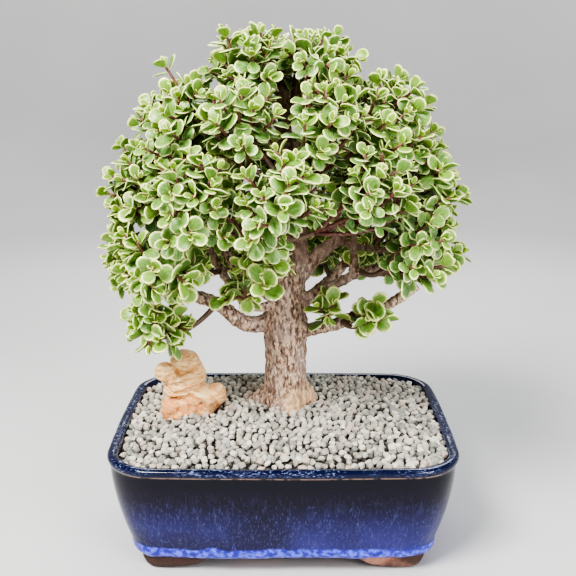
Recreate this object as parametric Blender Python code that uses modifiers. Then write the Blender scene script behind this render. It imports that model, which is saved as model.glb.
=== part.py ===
"""Variegated dwarf jade bonsai in a glazed pot, with a gravel dressing and a rock.

Metres, +Z up, +X to the right and -Y towards the front. The origin is on the ground
under the middle of the pot. Run it with blender --background --python part.py.
"""

import math

import bmesh
import bpy
from mathutils import Vector, noise

GAP = 0.0003  # kept between pieces that touch

# The pot: a rounded rectangle whose sides bow outwards.
RIM_LENGTH = 0.250
RIM_WIDTH = 0.190
POT_HEIGHT = 0.0885
CORNER_RADIUS = 0.031
SIDE_BOW = 0.0035
WALL = 0.0065
FLOOR = 0.008
LIP_HEIGHT = 0.0065
LIP_OVERHANG = 0.0015
BODY_TAPER = 0.0162
TAPER_POWER = 1.7
HOLE_RADIUS = 0.009
HOLE_SPACING = 0.110

# Its feet: an apron around the base with an arch cut through each side.
FOOT_HEIGHT = 0.012
FOOT_INSET = 0.002
FOOT_THICKNESS = 0.012
FOOT_REACH = 0.028
FOOT_TOE = 0.019
FOOT_TOE_RISE = 0.0035
FOOT_END = 0.0075

# The drainage screens over the holes, and the wires that hold them.
SCREEN_SIDE = 0.030
SCREEN_THICKNESS = 0.001
SCREEN_CELLS = 9
WIRE_RADIUS = 0.0006
WIRE_TAIL = 0.011

# Soil, and the gravel on it.
SOIL_BELOW_RIM = 0.010
GRAVEL_BELOW_RIM = 0.004
GRAVEL_MOUND = 0.0095
GRAVEL_BUMP = 0.0012
ROOT_DEPTH = 0.024

# The rock on the gravel.
ROCK_LENGTH = 0.0525
ROCK_DEPTH = 0.036
ROCK_HEIGHT = 0.0505
ROCK_FROM_TRUNK = (-0.0725, -0.012)
ROCK_SUNK = 0.004
ROCK_ROUGHNESS = 0.35

# The tree. Its height is over the gravel at the trunk, and its crown starts part of the way up.
TREE_HEIGHT = 0.2845
CANOPY_LENGTH = 0.270
CANOPY_WIDTH = 0.244
CANOPY_START = 0.0915
# The share of the tree's height where the canopy starts, in the routes of trunk and branches.
DRAWN_START = 95 / 288
TRUNK_DIAMETER = 0.032
TRUNK_PLACE = (0.001, 0.021)

# Heights that follow from the sizes above.
BASE_Z = FOOT_HEIGHT
FLOOR_Z = BASE_Z + FLOOR
NECK_Z = POT_HEIGHT - LIP_HEIGHT
SOIL_Z = POT_HEIGHT - SOIL_BELOW_RIM
GRAVEL_EDGE_Z = POT_HEIGHT - GRAVEL_BELOW_RIM
GROUND_Z = GRAVEL_EDGE_Z + GRAVEL_MOUND

# Fineness of the meshes.
CORNER_STEPS = 5
SIDE_STEPS = 4
WALL_RINGS = 6
TUBE_FINE = 4
TUBE_PLAIN = 2
PAD_SEGMENTS = 12
PAD_RINGS = 8

# A branch: its widths at both ends as shares of the trunk's, and its route. A route's points are
# shares of the canopy's half length and half width and of the tree's height over the ground.
BRANCHES = {
    "branch_leader": (
        0.56,
        0.24,
        [
            (0.05, 0.17, 0.35),
            (0.08, 0.18, 0.44),
            (0.07, 0.14, 0.54),
            (0.02, 0.08, 0.66),
            (0.0, 0.04, 0.84),
        ],
    ),
    "branch_right_rising": (
        0.42,
        0.2,
        [
            (0.02, 0.17, 0.31),
            (0.11, 0.17, 0.37),
            (0.19, 0.18, 0.415),
            (0.29, 0.19, 0.45),
            (0.36, 0.2, 0.49),
            (0.54, 0.22, 0.6),
        ],
    ),
    "branch_left_low": (
        0.46,
        0.2,
        [
            (0.01, 0.17, 0.245),
            (-0.1, 0.16, 0.228),
            (-0.185, 0.14, 0.226),
            (-0.265, 0.12, 0.243),
            (-0.335, 0.1, 0.278),
            (-0.44, 0.08, 0.307),
            (-0.54, 0.05, 0.325),
            (-0.72, 0.0, 0.385),
        ],
    ),
    "branch_right_low": (
        0.34,
        0.19,
        [
            (0.01, 0.16, 0.225),
            (0.1, 0.14, 0.208),
            (0.185, 0.1, 0.221),
            (0.29, 0.06, 0.236),
            (0.39, 0.03, 0.262),
            (0.48, 0.0, 0.285),
            (0.575, -0.04, 0.305),
            (0.72, -0.08, 0.36),
        ],
    ),
    "branch_left_upper": (
        0.24,
        0.14,
        [
            (0.02, 0.17, 0.29),
            (-0.07, 0.1, 0.287),
            (-0.14, 0.05, 0.285),
            (-0.22, 0.0, 0.305),
            (-0.34, -0.05, 0.4),
            (-0.46, -0.1, 0.53),
        ],
    ),
    "branch_right_middle": (
        0.22,
        0.14,
        [
            (0.02, 0.15, 0.285),
            (0.13, 0.08, 0.315),
            (0.28, 0.02, 0.352),
            (0.38, 0.0, 0.38),
            (0.47, -0.02, 0.397),
            (0.55, -0.05, 0.41),
            (0.68, -0.1, 0.45),
        ],
    ),
    "branch_back_left": (
        0.36,
        0.18,
        [
            (0.01, 0.18, 0.27),
            (-0.08, 0.3, 0.29),
            (-0.2, 0.42, 0.32),
            (-0.32, 0.52, 0.37),
            (-0.44, 0.62, 0.45),
        ],
    ),
    "branch_back_right": (
        0.34,
        0.18,
        [
            (0.02, 0.18, 0.25),
            (0.11, 0.31, 0.265),
            (0.23, 0.42, 0.3),
            (0.35, 0.52, 0.35),
            (0.48, 0.6, 0.43),
        ],
    ),
    "branch_front": (
        0.26,
        0.16,
        [
            (0.05, 0.15, 0.39),
            (0.03, 0.02, 0.41),
            (-0.02, -0.14, 0.44),
            (-0.04, -0.34, 0.5),
            (-0.05, -0.62, 0.57),
        ],
    ),
    "twig_right_upright": (
        0.17,
        0.11,
        [
            (0.38, 0.0, 0.382),
            (0.385, 0.01, 0.43),
            (0.38, 0.02, 0.47),
            (0.4, 0.0, 0.6),
        ],
    ),
    "twig_right_level": (
        0.14,
        0.1,
        [
            (0.3, 0.185, 0.455),
            (0.41, 0.15, 0.44),
            (0.57, 0.1, 0.436),
            (0.68, 0.08, 0.45),
        ],
    ),
}

# Rings of foliage pads: how many, degrees between them, distance from the axis, height, pad radius
# and first angle. Distances are shares of the canopy's half length and half width. The skirt is open
# at the front, where the trunk shows, and rises towards that gap.
PAD_UNIT_HEIGHT = 1.35
CROWN_RINGS = {
    "skirt": (8, 36.0, 0.735, 0.22, 0.265, -36.0),
    "middle": (10, 36.0, 0.70, 0.55, 0.27, 18.0),
    "upper": (8, 45.0, 0.50, 0.86, 0.265, 22.5),
    "crown": (5, 72.0, 0.23, 1.10, 0.235, 90.0),
}
SKIRT_RISE = 0.11
# Pads that stand apart from the rings, below the crown.
LOW_PADS = {
    "hanging_left": ((-0.69, -0.08, -0.14), 0.19),
    "front": ((-0.1, -0.3, 0.27), 0.17),
    "low_left": ((-0.21, -0.2, 0.08), 0.12),
    "low_right": ((0.25, -0.08, -0.05), 0.10),
    "low_far_right": ((0.49, -0.14, -0.08), 0.10),
}


def clear_scene():
    for item in list(bpy.data.objects):
        bpy.data.objects.remove(item, do_unlink=True)


def new_collection(name):
    collection = bpy.data.collections.new(name)
    bpy.context.scene.collection.children.link(collection)
    return collection


def material(name, colour, roughness, metallic=0.0):
    made = bpy.data.materials.new(name)
    made.use_nodes = True
    made.diffuse_color = (*colour, 1.0)
    shader = made.node_tree.nodes["Principled BSDF"]
    shader.inputs["Base Color"].default_value = (*colour, 1.0)
    shader.inputs["Roughness"].default_value = roughness
    shader.inputs["Metallic"].default_value = metallic
    return made


def new_object(name, mesh, collection, finish=None, smooth_under=None):
    item = bpy.data.objects.new(name, mesh)
    collection.objects.link(item)
    if finish:
        mesh.materials.clear()
        mesh.materials.append(finish)
    if smooth_under:
        mesh.shade_smooth()
        mesh.set_sharp_from_angle(angle=math.radians(smooth_under))
    return item


def hide_cutter(item):
    item.hide_render = True
    item.display_type = "WIRE"


def boolean(item, other, operation="DIFFERENCE"):
    modifier = item.modifiers.new(f"{operation.lower()}_{other.name}", "BOOLEAN")
    modifier.operation = operation
    modifier.solver = "EXACT"
    modifier.object = other


def mesh_from_bmesh(name, shape):
    bmesh.ops.recalc_face_normals(shape, faces=shape.faces)
    mesh = bpy.data.meshes.new(name)
    shape.to_mesh(mesh)
    shape.free()
    return mesh


def loft(name, rings):
    """A closed mesh through rings of as many points each, with a flat face on both ends."""
    shape = bmesh.new()
    loops = [[shape.verts.new(point) for point in ring] for ring in rings]
    for lower, upper in zip(loops, loops[1:]):
        for i, corner in enumerate(lower):
            after = (i + 1) % len(lower)
            shape.faces.new((corner, lower[after], upper[after], upper[i]))
    shape.faces.new(reversed(loops[0]))
    shape.faces.new(loops[-1])
    return mesh_from_bmesh(name, shape)


def prism(name, outline, direction):
    """A flat outline swept along a direction."""
    shape = bmesh.new()
    face = shape.faces.new([shape.verts.new(point) for point in outline])
    swept = bmesh.ops.extrude_face_region(shape, geom=[face])["geom"]
    corners = [part for part in swept if isinstance(part, bmesh.types.BMVert)]
    bmesh.ops.translate(shape, verts=corners, vec=direction)
    return mesh_from_bmesh(name, shape)


def evaluated_mesh(item, name):
    """The item's mesh with its modifiers applied, or a curve's surface with its caps welded."""
    graph = bpy.context.evaluated_depsgraph_get()
    graph.update()
    mesh = bpy.data.meshes.new_from_object(item.evaluated_get(graph), depsgraph=graph)
    mesh.name = name
    shape = bmesh.new()
    shape.from_mesh(mesh)
    bmesh.ops.remove_doubles(shape, verts=shape.verts, dist=0.00001)
    shape.to_mesh(mesh)
    shape.free()
    return mesh


def boxes_meet(first, second):
    """Whether the boxes around two unturned objects overlap."""
    for axis in range(3):
        a = [corner[axis] for corner in first.bound_box]
        b = [corner[axis] for corner in second.bound_box]
        if max(a) + GAP < min(b) or max(b) + GAP < min(a):
            return False
    return True


def pot_ring(inset, z):
    """The pot's outline at a height, moved in from the rim's outer edge."""
    half_length = RIM_LENGTH / 2 - inset
    half_width = RIM_WIDTH / 2 - inset
    radius = max(CORNER_RADIUS - inset, CORNER_RADIUS / 3)
    flat_x = half_length - SIDE_BOW - radius
    flat_y = half_width - SIDE_BOW - radius
    points = []
    for quarter, (sx, sy) in enumerate(((1, 1), (-1, 1), (-1, -1), (1, -1))):
        for step in range(CORNER_STEPS + 1):
            angle = math.pi / 2 * (quarter + step / CORNER_STEPS)
            x = sx * flat_x + radius * math.cos(angle)
            y = sy * flat_y + radius * math.sin(angle)
            points.append(Vector((x, y, z)))
        side_end = ((-sx, sy), (sx, -sy))[quarter % 2]
        start = points[-1].copy()
        end = Vector((start.x, start.y, z))
        if quarter % 2 == 0:
            end.x = side_end[0] * flat_x
        else:
            end.y = side_end[1] * flat_y
        points += [start.lerp(end, step / SIDE_STEPS) for step in range(1, SIDE_STEPS)]
    for point in points:
        bow_x = 1 - (point.y / half_width) ** 2
        bow_y = 1 - (point.x / half_length) ** 2
        point.x *= 1 + SIDE_BOW * bow_x / (half_length - SIDE_BOW)
        point.y *= 1 + SIDE_BOW * bow_y / (half_width - SIDE_BOW)
    return points


def wall_inset(z):
    """How far the outer wall stands in from the rim's edge at a height below the lip."""
    rise = min(max((z - BASE_Z) / (NECK_Z - BASE_Z), 0.0), 1.0)
    return LIP_OVERHANG + BODY_TAPER * (1 - rise) ** TAPER_POWER


def pot_body(collection, finish):
    edge_round = 0.0015
    outside = [(wall_inset(BASE_Z) + 2 * edge_round, BASE_Z)]
    for step in range(WALL_RINGS + 1):
        z = BASE_Z + edge_round + (NECK_Z - BASE_Z - edge_round) * step / WALL_RINGS
        outside.append((wall_inset(z), z))
    lip_top = POT_HEIGHT
    lip_mid = POT_HEIGHT - LIP_HEIGHT / 2
    lip = [
        (LIP_OVERHANG * 0.2, NECK_Z + LIP_HEIGHT * 0.22),
        (0.0, lip_mid),
        (LIP_OVERHANG * 0.35, lip_top - LIP_HEIGHT * 0.1),
        (LIP_OVERHANG, lip_top),
        (WALL - LIP_OVERHANG * 0.4, lip_top),
        (WALL + LIP_OVERHANG * 0.4, lip_top - LIP_HEIGHT * 0.2),
    ]
    inside = []
    for step in range(WALL_RINGS + 1):
        z = NECK_Z + (FLOOR_Z - NECK_Z) * step / WALL_RINGS
        inside.append((wall_inset(z) + WALL, z))
    rings = [pot_ring(inset, z) for inset, z in outside + lip + inside]
    return new_object("pot", loft("pot", rings), collection, finish, smooth_under=35)


def foot_ring(collection):
    """The apron under the pot, before its arches are cut."""
    outer = wall_inset(BASE_Z) + FOOT_INSET
    inner = outer + FOOT_THICKNESS
    top = BASE_Z + FLOOR / 4
    apron_rings = [pot_ring(outer, 0.0), pot_ring(outer, top)]
    apron = new_object("foot_apron", loft("foot_apron", apron_rings), collection)
    core_rings = [pot_ring(inner, -FLOOR), pot_ring(inner, top + FLOOR)]
    core = new_object("foot_core", loft("foot_core", core_rings), collection)
    boolean(apron, core)
    hide_cutter(apron)
    hide_cutter(core)
    return apron


def arch(name, half_base, along_x, collection):
    """A prism that cuts the apron between two feet, which slope gently and then end steeply."""
    half_toe = half_base - FOOT_TOE
    half_top = half_toe - FOOT_END
    half = [(half_base, -FLOOR), (half_base, 0.0), (half_toe, FOOT_TOE_RISE), (half_top, FOOT_HEIGHT)]
    half.append((half_top, BASE_Z + FLOOR / 2))
    outline = half + [(-across, z) for across, z in reversed(half)]
    reach = RIM_LENGTH
    if along_x:
        points = [(-reach, across, z) for across, z in outline]
        direction = (2 * reach, 0, 0)
    else:
        points = [(across, -reach, z) for across, z in outline]
        direction = (0, 2 * reach, 0)
    cutter = new_object(name, prism(name, points, direction), collection)
    hide_cutter(cutter)
    return cutter


def drain_hole(name, x, collection):
    shape = bmesh.new()
    bmesh.ops.create_cone(
        shape, cap_ends=True, segments=20, radius1=HOLE_RADIUS, radius2=HOLE_RADIUS, depth=4 * FLOOR
    )
    bmesh.ops.translate(shape, verts=shape.verts, vec=(x, 0, BASE_Z))
    cutter = new_object(name, mesh_from_bmesh(name, shape), collection)
    hide_cutter(cutter)
    return cutter


def make_pot(parts, cutters, finish):
    pot = pot_body(parts, finish)
    apron = foot_ring(cutters)
    foot_edge = wall_inset(BASE_Z) + FOOT_INSET
    boolean(apron, arch("arch_front_back", RIM_LENGTH / 2 - foot_edge - FOOT_REACH, False, cutters))
    boolean(apron, arch("arch_sides", RIM_WIDTH / 2 - foot_edge - FOOT_REACH, True, cutters))
    boolean(pot, apron, "UNION")
    for side, x in (("left", -HOLE_SPACING / 2), ("right", HOLE_SPACING / 2)):
        boolean(pot, drain_hole(f"drain_hole_{side}", x, cutters))
    return pot


def make_screen(side, x, parts, finish):
    """A square mesh over a drainage hole: a grid with every second cell open."""
    shape = bmesh.new()
    bmesh.ops.create_grid(shape, x_segments=SCREEN_CELLS, y_segments=SCREEN_CELLS, size=SCREEN_SIDE / 2)
    cell = SCREEN_SIDE / SCREEN_CELLS
    openings = []
    for face in shape.faces:
        middle = face.calc_center_median()
        column = int((middle.x + SCREEN_SIDE / 2) / cell)
        row = int((middle.y + SCREEN_SIDE / 2) / cell)
        if column % 2 and row % 2:
            openings.append(face)
    bmesh.ops.delete(shape, geom=openings, context="FACES_ONLY")
    bmesh.ops.translate(shape, verts=shape.verts, vec=(x, 0, FLOOR_Z + GAP))
    screen = new_object(f"drainage_screen_{side}", mesh_from_bmesh("screen", shape), parts, finish)
    solid = screen.modifiers.new("thickness", "SOLIDIFY")
    solid.thickness = SCREEN_THICKNESS
    solid.offset = 1.0
    return screen


def tube(name, points, radii, fineness):
    """A curve object with round section and filled caps."""
    curve = bpy.data.curves.new(name, "CURVE")
    curve.dimensions = "3D"
    curve.bevel_depth = 1.0
    curve.bevel_resolution = fineness
    curve.use_fill_caps = True
    spline = curve.splines.new("POLY")
    spline.points.add(len(points) - 1)
    for knot, point, radius in zip(spline.points, points, radii):
        knot.co = (*point, 1.0)
        knot.radius = radius
    return bpy.data.objects.new(name, curve)


def tube_mesh(name, points, radii, fineness, collection, finish=None):
    """A tube made a mesh, so that it can be cut and can cut."""
    guide = tube(name, points, radii, fineness)
    collection.objects.link(guide)
    mesh = evaluated_mesh(guide, name)
    bpy.data.objects.remove(guide, do_unlink=True)
    return new_object(name, mesh, collection, finish, smooth_under=50)


def tube_clearance(name, points, radii, fineness, collection):
    """A cutter around a tube, larger by the gap all round and at both ends."""
    first = points[0] + (points[0] - points[1]).normalized() * GAP
    last = points[-1] + (points[-1] - points[-2]).normalized() * GAP
    route = [first, *points[1:-1], last]
    grown = [radius + GAP for radius in radii]
    cutter = tube_mesh(f"{name}_clearance", route, grown, fineness, collection)
    hide_cutter(cutter)
    return cutter


def make_wire(side, x, parts, finish):
    """A staple over the screen, through the hole, with its tails bent out under the pot."""
    cell = SCREEN_SIDE / SCREEN_CELLS
    over = FLOOR_Z + 2 * GAP + SCREEN_THICKNESS + WIRE_RADIUS
    under = BASE_Z - GAP - WIRE_RADIUS
    bend = 2 * WIRE_RADIUS
    half = [(0.0, over), (cell - bend, over), (cell, over - bend), (cell, under + bend)]
    half += [(cell + bend, under), (cell + WIRE_TAIL, under)]
    route = [(x + cell, -across, z) for across, z in reversed(half[1:])]
    route += [(x + cell, across, z) for across, z in half]
    name = f"screen_wire_{side}"
    return tube_mesh(name, route, [WIRE_RADIUS] * len(route), TUBE_PLAIN, parts, finish)


def make_soil(parts, cutters, finish):
    """Fills the pot up to the gravel, with a recess over each screen and its wire."""
    rings = []
    low, high = FLOOR_Z + GAP, SOIL_Z
    for step in range(WALL_RINGS + 1):
        z = low + (high - low) * step / WALL_RINGS
        rings.append(pot_ring(wall_inset(z) + WALL + GAP, z))
    soil = new_object("soil", loft("soil", rings), parts, finish, smooth_under=35)
    half = SCREEN_SIDE / 2 + GAP
    top = FLOOR_Z + SCREEN_THICKNESS + 2 * WIRE_RADIUS + 3 * GAP
    for side, x in (("left", -HOLE_SPACING / 2), ("right", HOLE_SPACING / 2)):
        corners = [(x - half, -half), (x + half, -half), (x + half, half), (x - half, half)]
        outline = [(cx, cy, BASE_Z) for cx, cy in corners]
        name = f"screen_recess_{side}"
        recess = new_object(name, prism(name, outline, (0, 0, top - BASE_Z)), cutters)
        hide_cutter(recess)
        boolean(soil, recess)
    return soil


def gravel_height(x, y):
    """The gravel's surface: a long mound that is full to near the front and back, with small bumps."""
    along = min(1.0, abs(x) / (RIM_LENGTH / 2))
    across = min(1.0, abs(y) / (RIM_WIDTH / 2))
    mound = GRAVEL_MOUND * (1 - along**2) * (1 - across**6)
    return GRAVEL_EDGE_Z + mound + GRAVEL_BUMP * noise.noise(Vector((x, y, 0)) * 90)


def make_gravel(parts, finish):
    low = SOIL_Z + GAP
    inset = wall_inset(NECK_Z) + WALL + GAP
    edge = pot_ring(inset, GRAVEL_EDGE_Z)
    rings = [pot_ring(wall_inset(low) + WALL + GAP, low)]
    for share in (1.0, 0.9, 0.76, 0.6, 0.44, 0.28, 0.12):
        ring = [Vector((point.x * share, point.y * share, 0)) for point in edge]
        for point in ring:
            point.z = gravel_height(point.x, point.y)
        rings.append(ring)
    for point in rings[-1]:
        point.z = GROUND_Z
    return new_object("gravel", loft("gravel", rings), parts, finish, smooth_under=60)


def lump(name, centre, half_sizes, seed, collection, clearance=0.0):
    """A rough round stone shape."""
    shape = bmesh.new()
    bmesh.ops.create_icosphere(shape, subdivisions=2, radius=1.0)
    for point in shape.verts:
        swell = 1 + ROCK_ROUGHNESS * noise.noise(point.co * 1.7 + Vector((seed, 0, 0)))
        grown = [half * swell + clearance for half in half_sizes]
        point.co = Vector([c + half * p for c, half, p in zip(centre, grown, point.co)])
    return new_object(name, mesh_from_bmesh(name, shape), collection)


def make_rock(parts, cutters, finish):
    """One layered stone: a broad foot, a middle layer, a knob at the left and one on top.

    Returns the cutter that seats its foot in the gravel.
    """
    x = TRUNK_PLACE[0] + ROCK_FROM_TRUNK[0]
    y = TRUNK_PLACE[1] + ROCK_FROM_TRUNK[1]
    z = gravel_height(x, y) - ROCK_SUNK
    lumps = {
        "rock": ((0.12, 0.0, 0.22), (0.49, 0.49, 0.26)),
        "rock_middle": ((-0.13, 0.02, 0.50), (0.39, 0.44, 0.24)),
        "rock_left_knob": ((-0.37, 0.0, 0.60), (0.17, 0.3, 0.2)),
        "rock_top_knob": ((-0.10, 0.02, 0.81), (0.25, 0.33, 0.2)),
    }
    size = (ROCK_LENGTH, ROCK_DEPTH, ROCK_HEIGHT)
    made = {}
    for seed, (name, (place, halves)) in enumerate(lumps.items()):
        centre = [start + share * length for start, share, length in zip((x, y, z), place, size)]
        half_sizes = [share * length for share, length in zip(halves, size)]
        home = parts if name == "rock" else cutters
        made[name] = lump(name, centre, half_sizes, seed * 3.1, home)
        if name == "rock":
            seat = lump("rock_seat", centre, half_sizes, seed * 3.1, cutters, clearance=GAP)
            hide_cutter(seat)
            continue
        hide_cutter(made[name])
        boolean(made["rock"], made[name], "UNION")
    made["rock"].data.materials.append(finish)
    return seat


def tree_point(x, y, height):
    """A place in the tree, from shares of the canopy's half length and half width and the tree's height.

    The bare trunk and the canopy stretch apart, so each branch stays with its pads.
    """
    if height < DRAWN_START:
        up = CANOPY_START * height / DRAWN_START
    else:
        above = (height - DRAWN_START) / (1 - DRAWN_START)
        up = CANOPY_START + (TREE_HEIGHT - CANOPY_START) * above
    return Vector((x * CANOPY_LENGTH / 2, y * CANOPY_WIDTH / 2, GROUND_Z + up))


def smooth_route(points, steps):
    """Points of a Catmull-Rom curve through the given ones."""
    ends = [2 * points[0] - points[1], *points, 2 * points[-1] - points[-2]]
    route = []
    for before, start, end, after in zip(ends, ends[1:], ends[2:], ends[3:]):
        for step in range(steps):
            t = step / steps
            route.append(
                0.5
                * (
                    2 * start
                    + (end - before) * t
                    + (2 * before - 5 * start + 4 * end - after) * t**2
                    + (3 * start - before - 3 * end + after) * t**3
                )
            )
    return [*route, points[-1]]


def trunk_profile():
    """The trunk's points from its root to its top, and its radius at each."""
    foot_x, foot_y = TRUNK_PLACE
    half = TRUNK_DIAMETER / 2
    under_ground = [
        (0.0, -ROOT_DEPTH, 0.8),
        (0.0, -ROOT_DEPTH / 3, 1.22),
        (0.0, 0.1 * half, 1.18),
        (0.0, 0.8 * half, 1.03),
    ]
    points = [Vector((foot_x + x, foot_y, GROUND_Z + up)) for x, up, _ in under_ground]
    radii = [half * width for _, _, width in under_ground]
    over_ground = [
        ((0.010, 0.17, 0.11), 0.98),
        ((0.008, 0.17, 0.19), 0.98),
        ((0.008, 0.17, 0.235), 1.04),
        ((0.012, 0.17, 0.27), 0.9),
        ((0.030, 0.17, 0.315), 0.76),
        ((0.045, 0.17, 0.36), 0.62),
    ]
    points += [tree_point(*share) for share, _ in over_ground]
    radii += [half * width for _, width in over_ground]
    return points, radii


def root_profiles():
    """Each surface root's points and radii, out from the trunk and down into the gravel."""
    half = TRUNK_DIAMETER / 2
    middle = Vector((*TRUNK_PLACE, GROUND_Z))
    roots = {
        "root_front": (-78, 1.3, 0.5),
        "root_left": (178, 1.8, 0.36),
        "root_right": (10, 1.0, 0.46),
        "root_back_left": (120, 1.5, 0.44),
        "root_back_right": (60, 1.4, 0.46),
    }
    for name, (turn, reach, width) in roots.items():
        away = Vector((math.cos(math.radians(turn)), math.sin(math.radians(turn)), 0)) * half
        top = middle + Vector((0, 0, 1.1 * half))
        knee = middle + away + Vector((0, 0, 0.1 * half))
        end = middle + away * reach - Vector((0, 0, 0.55 * half))
        route = smooth_route([top, knee, end], 3)
        taper = 0.3 * width / len(route)
        yield name, route, [half * (width + 0.12 - taper * i) for i in range(len(route))]


def make_trunk(parts, cutters, finish):
    """The trunk down to its root in the soil, with its surface roots joined on, and its cutter."""
    points, radii = trunk_profile()
    trunk = tube_mesh("trunk", points, radii, TUBE_FINE, parts, finish)
    clearance = tube_clearance("trunk", points, radii, TUBE_FINE, cutters)
    for name, route, widths in root_profiles():
        root = tube_mesh(name, route, widths, TUBE_PLAIN, cutters)
        hide_cutter(root)
        boolean(trunk, root, "UNION")
        boolean(clearance, tube_clearance(name, route, widths, TUBE_PLAIN, cutters), "UNION")
    return trunk, clearance


def make_branches(parts, cutters, wood_cutters, finish):
    """Each branch stops at the wood that was made before it."""
    half = TRUNK_DIAMETER / 2
    for name, (first_width, last_width, shares) in BRANCHES.items():
        route = smooth_route([tree_point(*share) for share in shares], 2)
        last = len(route) - 1
        radii = [half * (first_width + (last_width - first_width) * i / last) for i in range(last + 1)]
        branch = tube_mesh(name, route, radii, TUBE_PLAIN, parts, finish)
        for cutter in wood_cutters:
            if boxes_meet(branch, cutter):
                boolean(branch, cutter)
        wood_cutters.append(tube_clearance(name, route, radii, TUBE_PLAIN, cutters))


def canopy_scale():
    """The size of one unit of the pads' places, along X, Y and Z."""
    canopy_height = TREE_HEIGHT - CANOPY_START
    return Vector((CANOPY_LENGTH / 2, CANOPY_WIDTH / 2, canopy_height / PAD_UNIT_HEIGHT))


def pad_places():
    """Each pad's name, centre and radius, in units of canopy_scale over the canopy's start."""
    places = {}
    for ring, (count, turn, distance, height, radius, first) in CROWN_RINGS.items():
        for number in range(count):
            angle = math.radians(first + turn * number)
            rise = SKIRT_RISE * max(0.0, -math.sin(angle)) if ring == "skirt" else 0.0
            centre = Vector((distance * math.cos(angle), distance * math.sin(angle), height + rise))
            places[f"foliage_{ring}_{number + 1:02d}"] = (centre, radius)
    for name, (centre, radius) in LOW_PADS.items():
        places[f"foliage_{name}"] = (Vector(centre), radius)
    return places


def make_pad(name, places, parts, finish):
    """A lumpy pad of leaves, cut flat halfway to each pad that it would overlap."""
    centre, radius = places[name]
    scale = canopy_scale()
    base = Vector((0, 0, GROUND_Z + CANOPY_START))
    shape = bmesh.new()
    bmesh.ops.create_uvsphere(shape, u_segments=PAD_SEGMENTS, v_segments=PAD_RINGS, radius=1.0)
    for point in shape.verts:
        swell = 1 + 0.16 * noise.noise(point.co * 2.6 + centre * 7)
        point.co = base + scale * (centre + point.co * radius * swell)
    for other, (other_centre, other_radius) in places.items():
        between = other_centre - centre
        distance = between.length
        if other == name or distance > (radius + other_radius) * 1.2:
            continue
        share = (distance**2 + radius**2 - other_radius**2) / (2 * distance**2)
        plane_point = base + scale * (centre + between * share)
        normal = Vector([part / size for part, size in zip(between, scale)]).normalized()
        geometry = shape.verts[:] + shape.edges[:] + shape.faces[:]
        cut = bmesh.ops.bisect_plane(
            shape,
            geom=geometry,
            plane_co=plane_point - normal * GAP / 2,
            plane_no=normal,
            clear_outer=True,
        )
        rim = [part for part in cut["geom_cut"] if isinstance(part, bmesh.types.BMEdge)]
        if rim:
            bmesh.ops.holes_fill(shape, edges=rim, sides=0)
    return new_object(name, mesh_from_bmesh(name, shape), parts, finish, smooth_under=60)


def make_foliage(parts, wood_cutters, finish):
    places = pad_places()
    for name in places:
        pad = make_pad(name, places, parts, finish)
        for cutter in wood_cutters:
            if boxes_meet(pad, cutter):
                boolean(pad, cutter)


def main():
    clear_scene()
    parts = new_collection("bonsai_tree_in_pot")
    cutters = new_collection("cutters")
    glaze = material("blue_glaze", (0.02, 0.03, 0.16), 0.12)
    screen_plastic = material("screen_plastic", (0.03, 0.03, 0.03), 0.6)
    wire_metal = material("aluminium_wire", (0.6, 0.6, 0.62), 0.4, 1.0)
    soil_finish = material("potting_soil", (0.09, 0.06, 0.04), 0.95)
    gravel_finish = material("grey_gravel", (0.42, 0.39, 0.35), 0.85)
    rock_finish = material("tan_rock", (0.62, 0.42, 0.27), 0.85)
    bark = material("bark", (0.34, 0.24, 0.16), 0.8)
    leaf = material("variegated_leaf", (0.30, 0.45, 0.18), 0.45)

    make_pot(parts, cutters, glaze)
    for side, x in (("left", -HOLE_SPACING / 2), ("right", HOLE_SPACING / 2)):
        make_screen(side, x, parts, screen_plastic)
        make_wire(side, x, parts, wire_metal)
    soil = make_soil(parts, cutters, soil_finish)
    gravel = make_gravel(parts, gravel_finish)
    rock_seat = make_rock(parts, cutters, rock_finish)
    _, trunk_clearance = make_trunk(parts, cutters, bark)
    boolean(soil, trunk_clearance)
    boolean(gravel, trunk_clearance)
    boolean(gravel, rock_seat)
    wood_cutters = [trunk_clearance]
    make_branches(parts, cutters, wood_cutters, bark)
    make_foliage(parts, wood_cutters, leaf)


main()
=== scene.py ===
# %% [markdown]
# # A dwarf jade bonsai in a glazed pot
# The real object is a small tree: a short thick trunk, a few bent branches and a
# dense round crown of fleshy two-coloured leaves, growing in a shallow glazed pot
# that is topped with crushed gravel and one tan stone. The imported solids give the
# size and the place of everything. This lesson models each part over them, so that
# the solids act as a scaffold: read a box, model the piece in that box, then hide
# the solid that it stands for.

# %% Load the solids and keep their size
import math
import random

import bmesh
import bpy
import numpy as np
from mathutils import Matrix, Vector, noise
from mathutils.bvhtree import BVHTree
from mathutils.kdtree import KDTree


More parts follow.
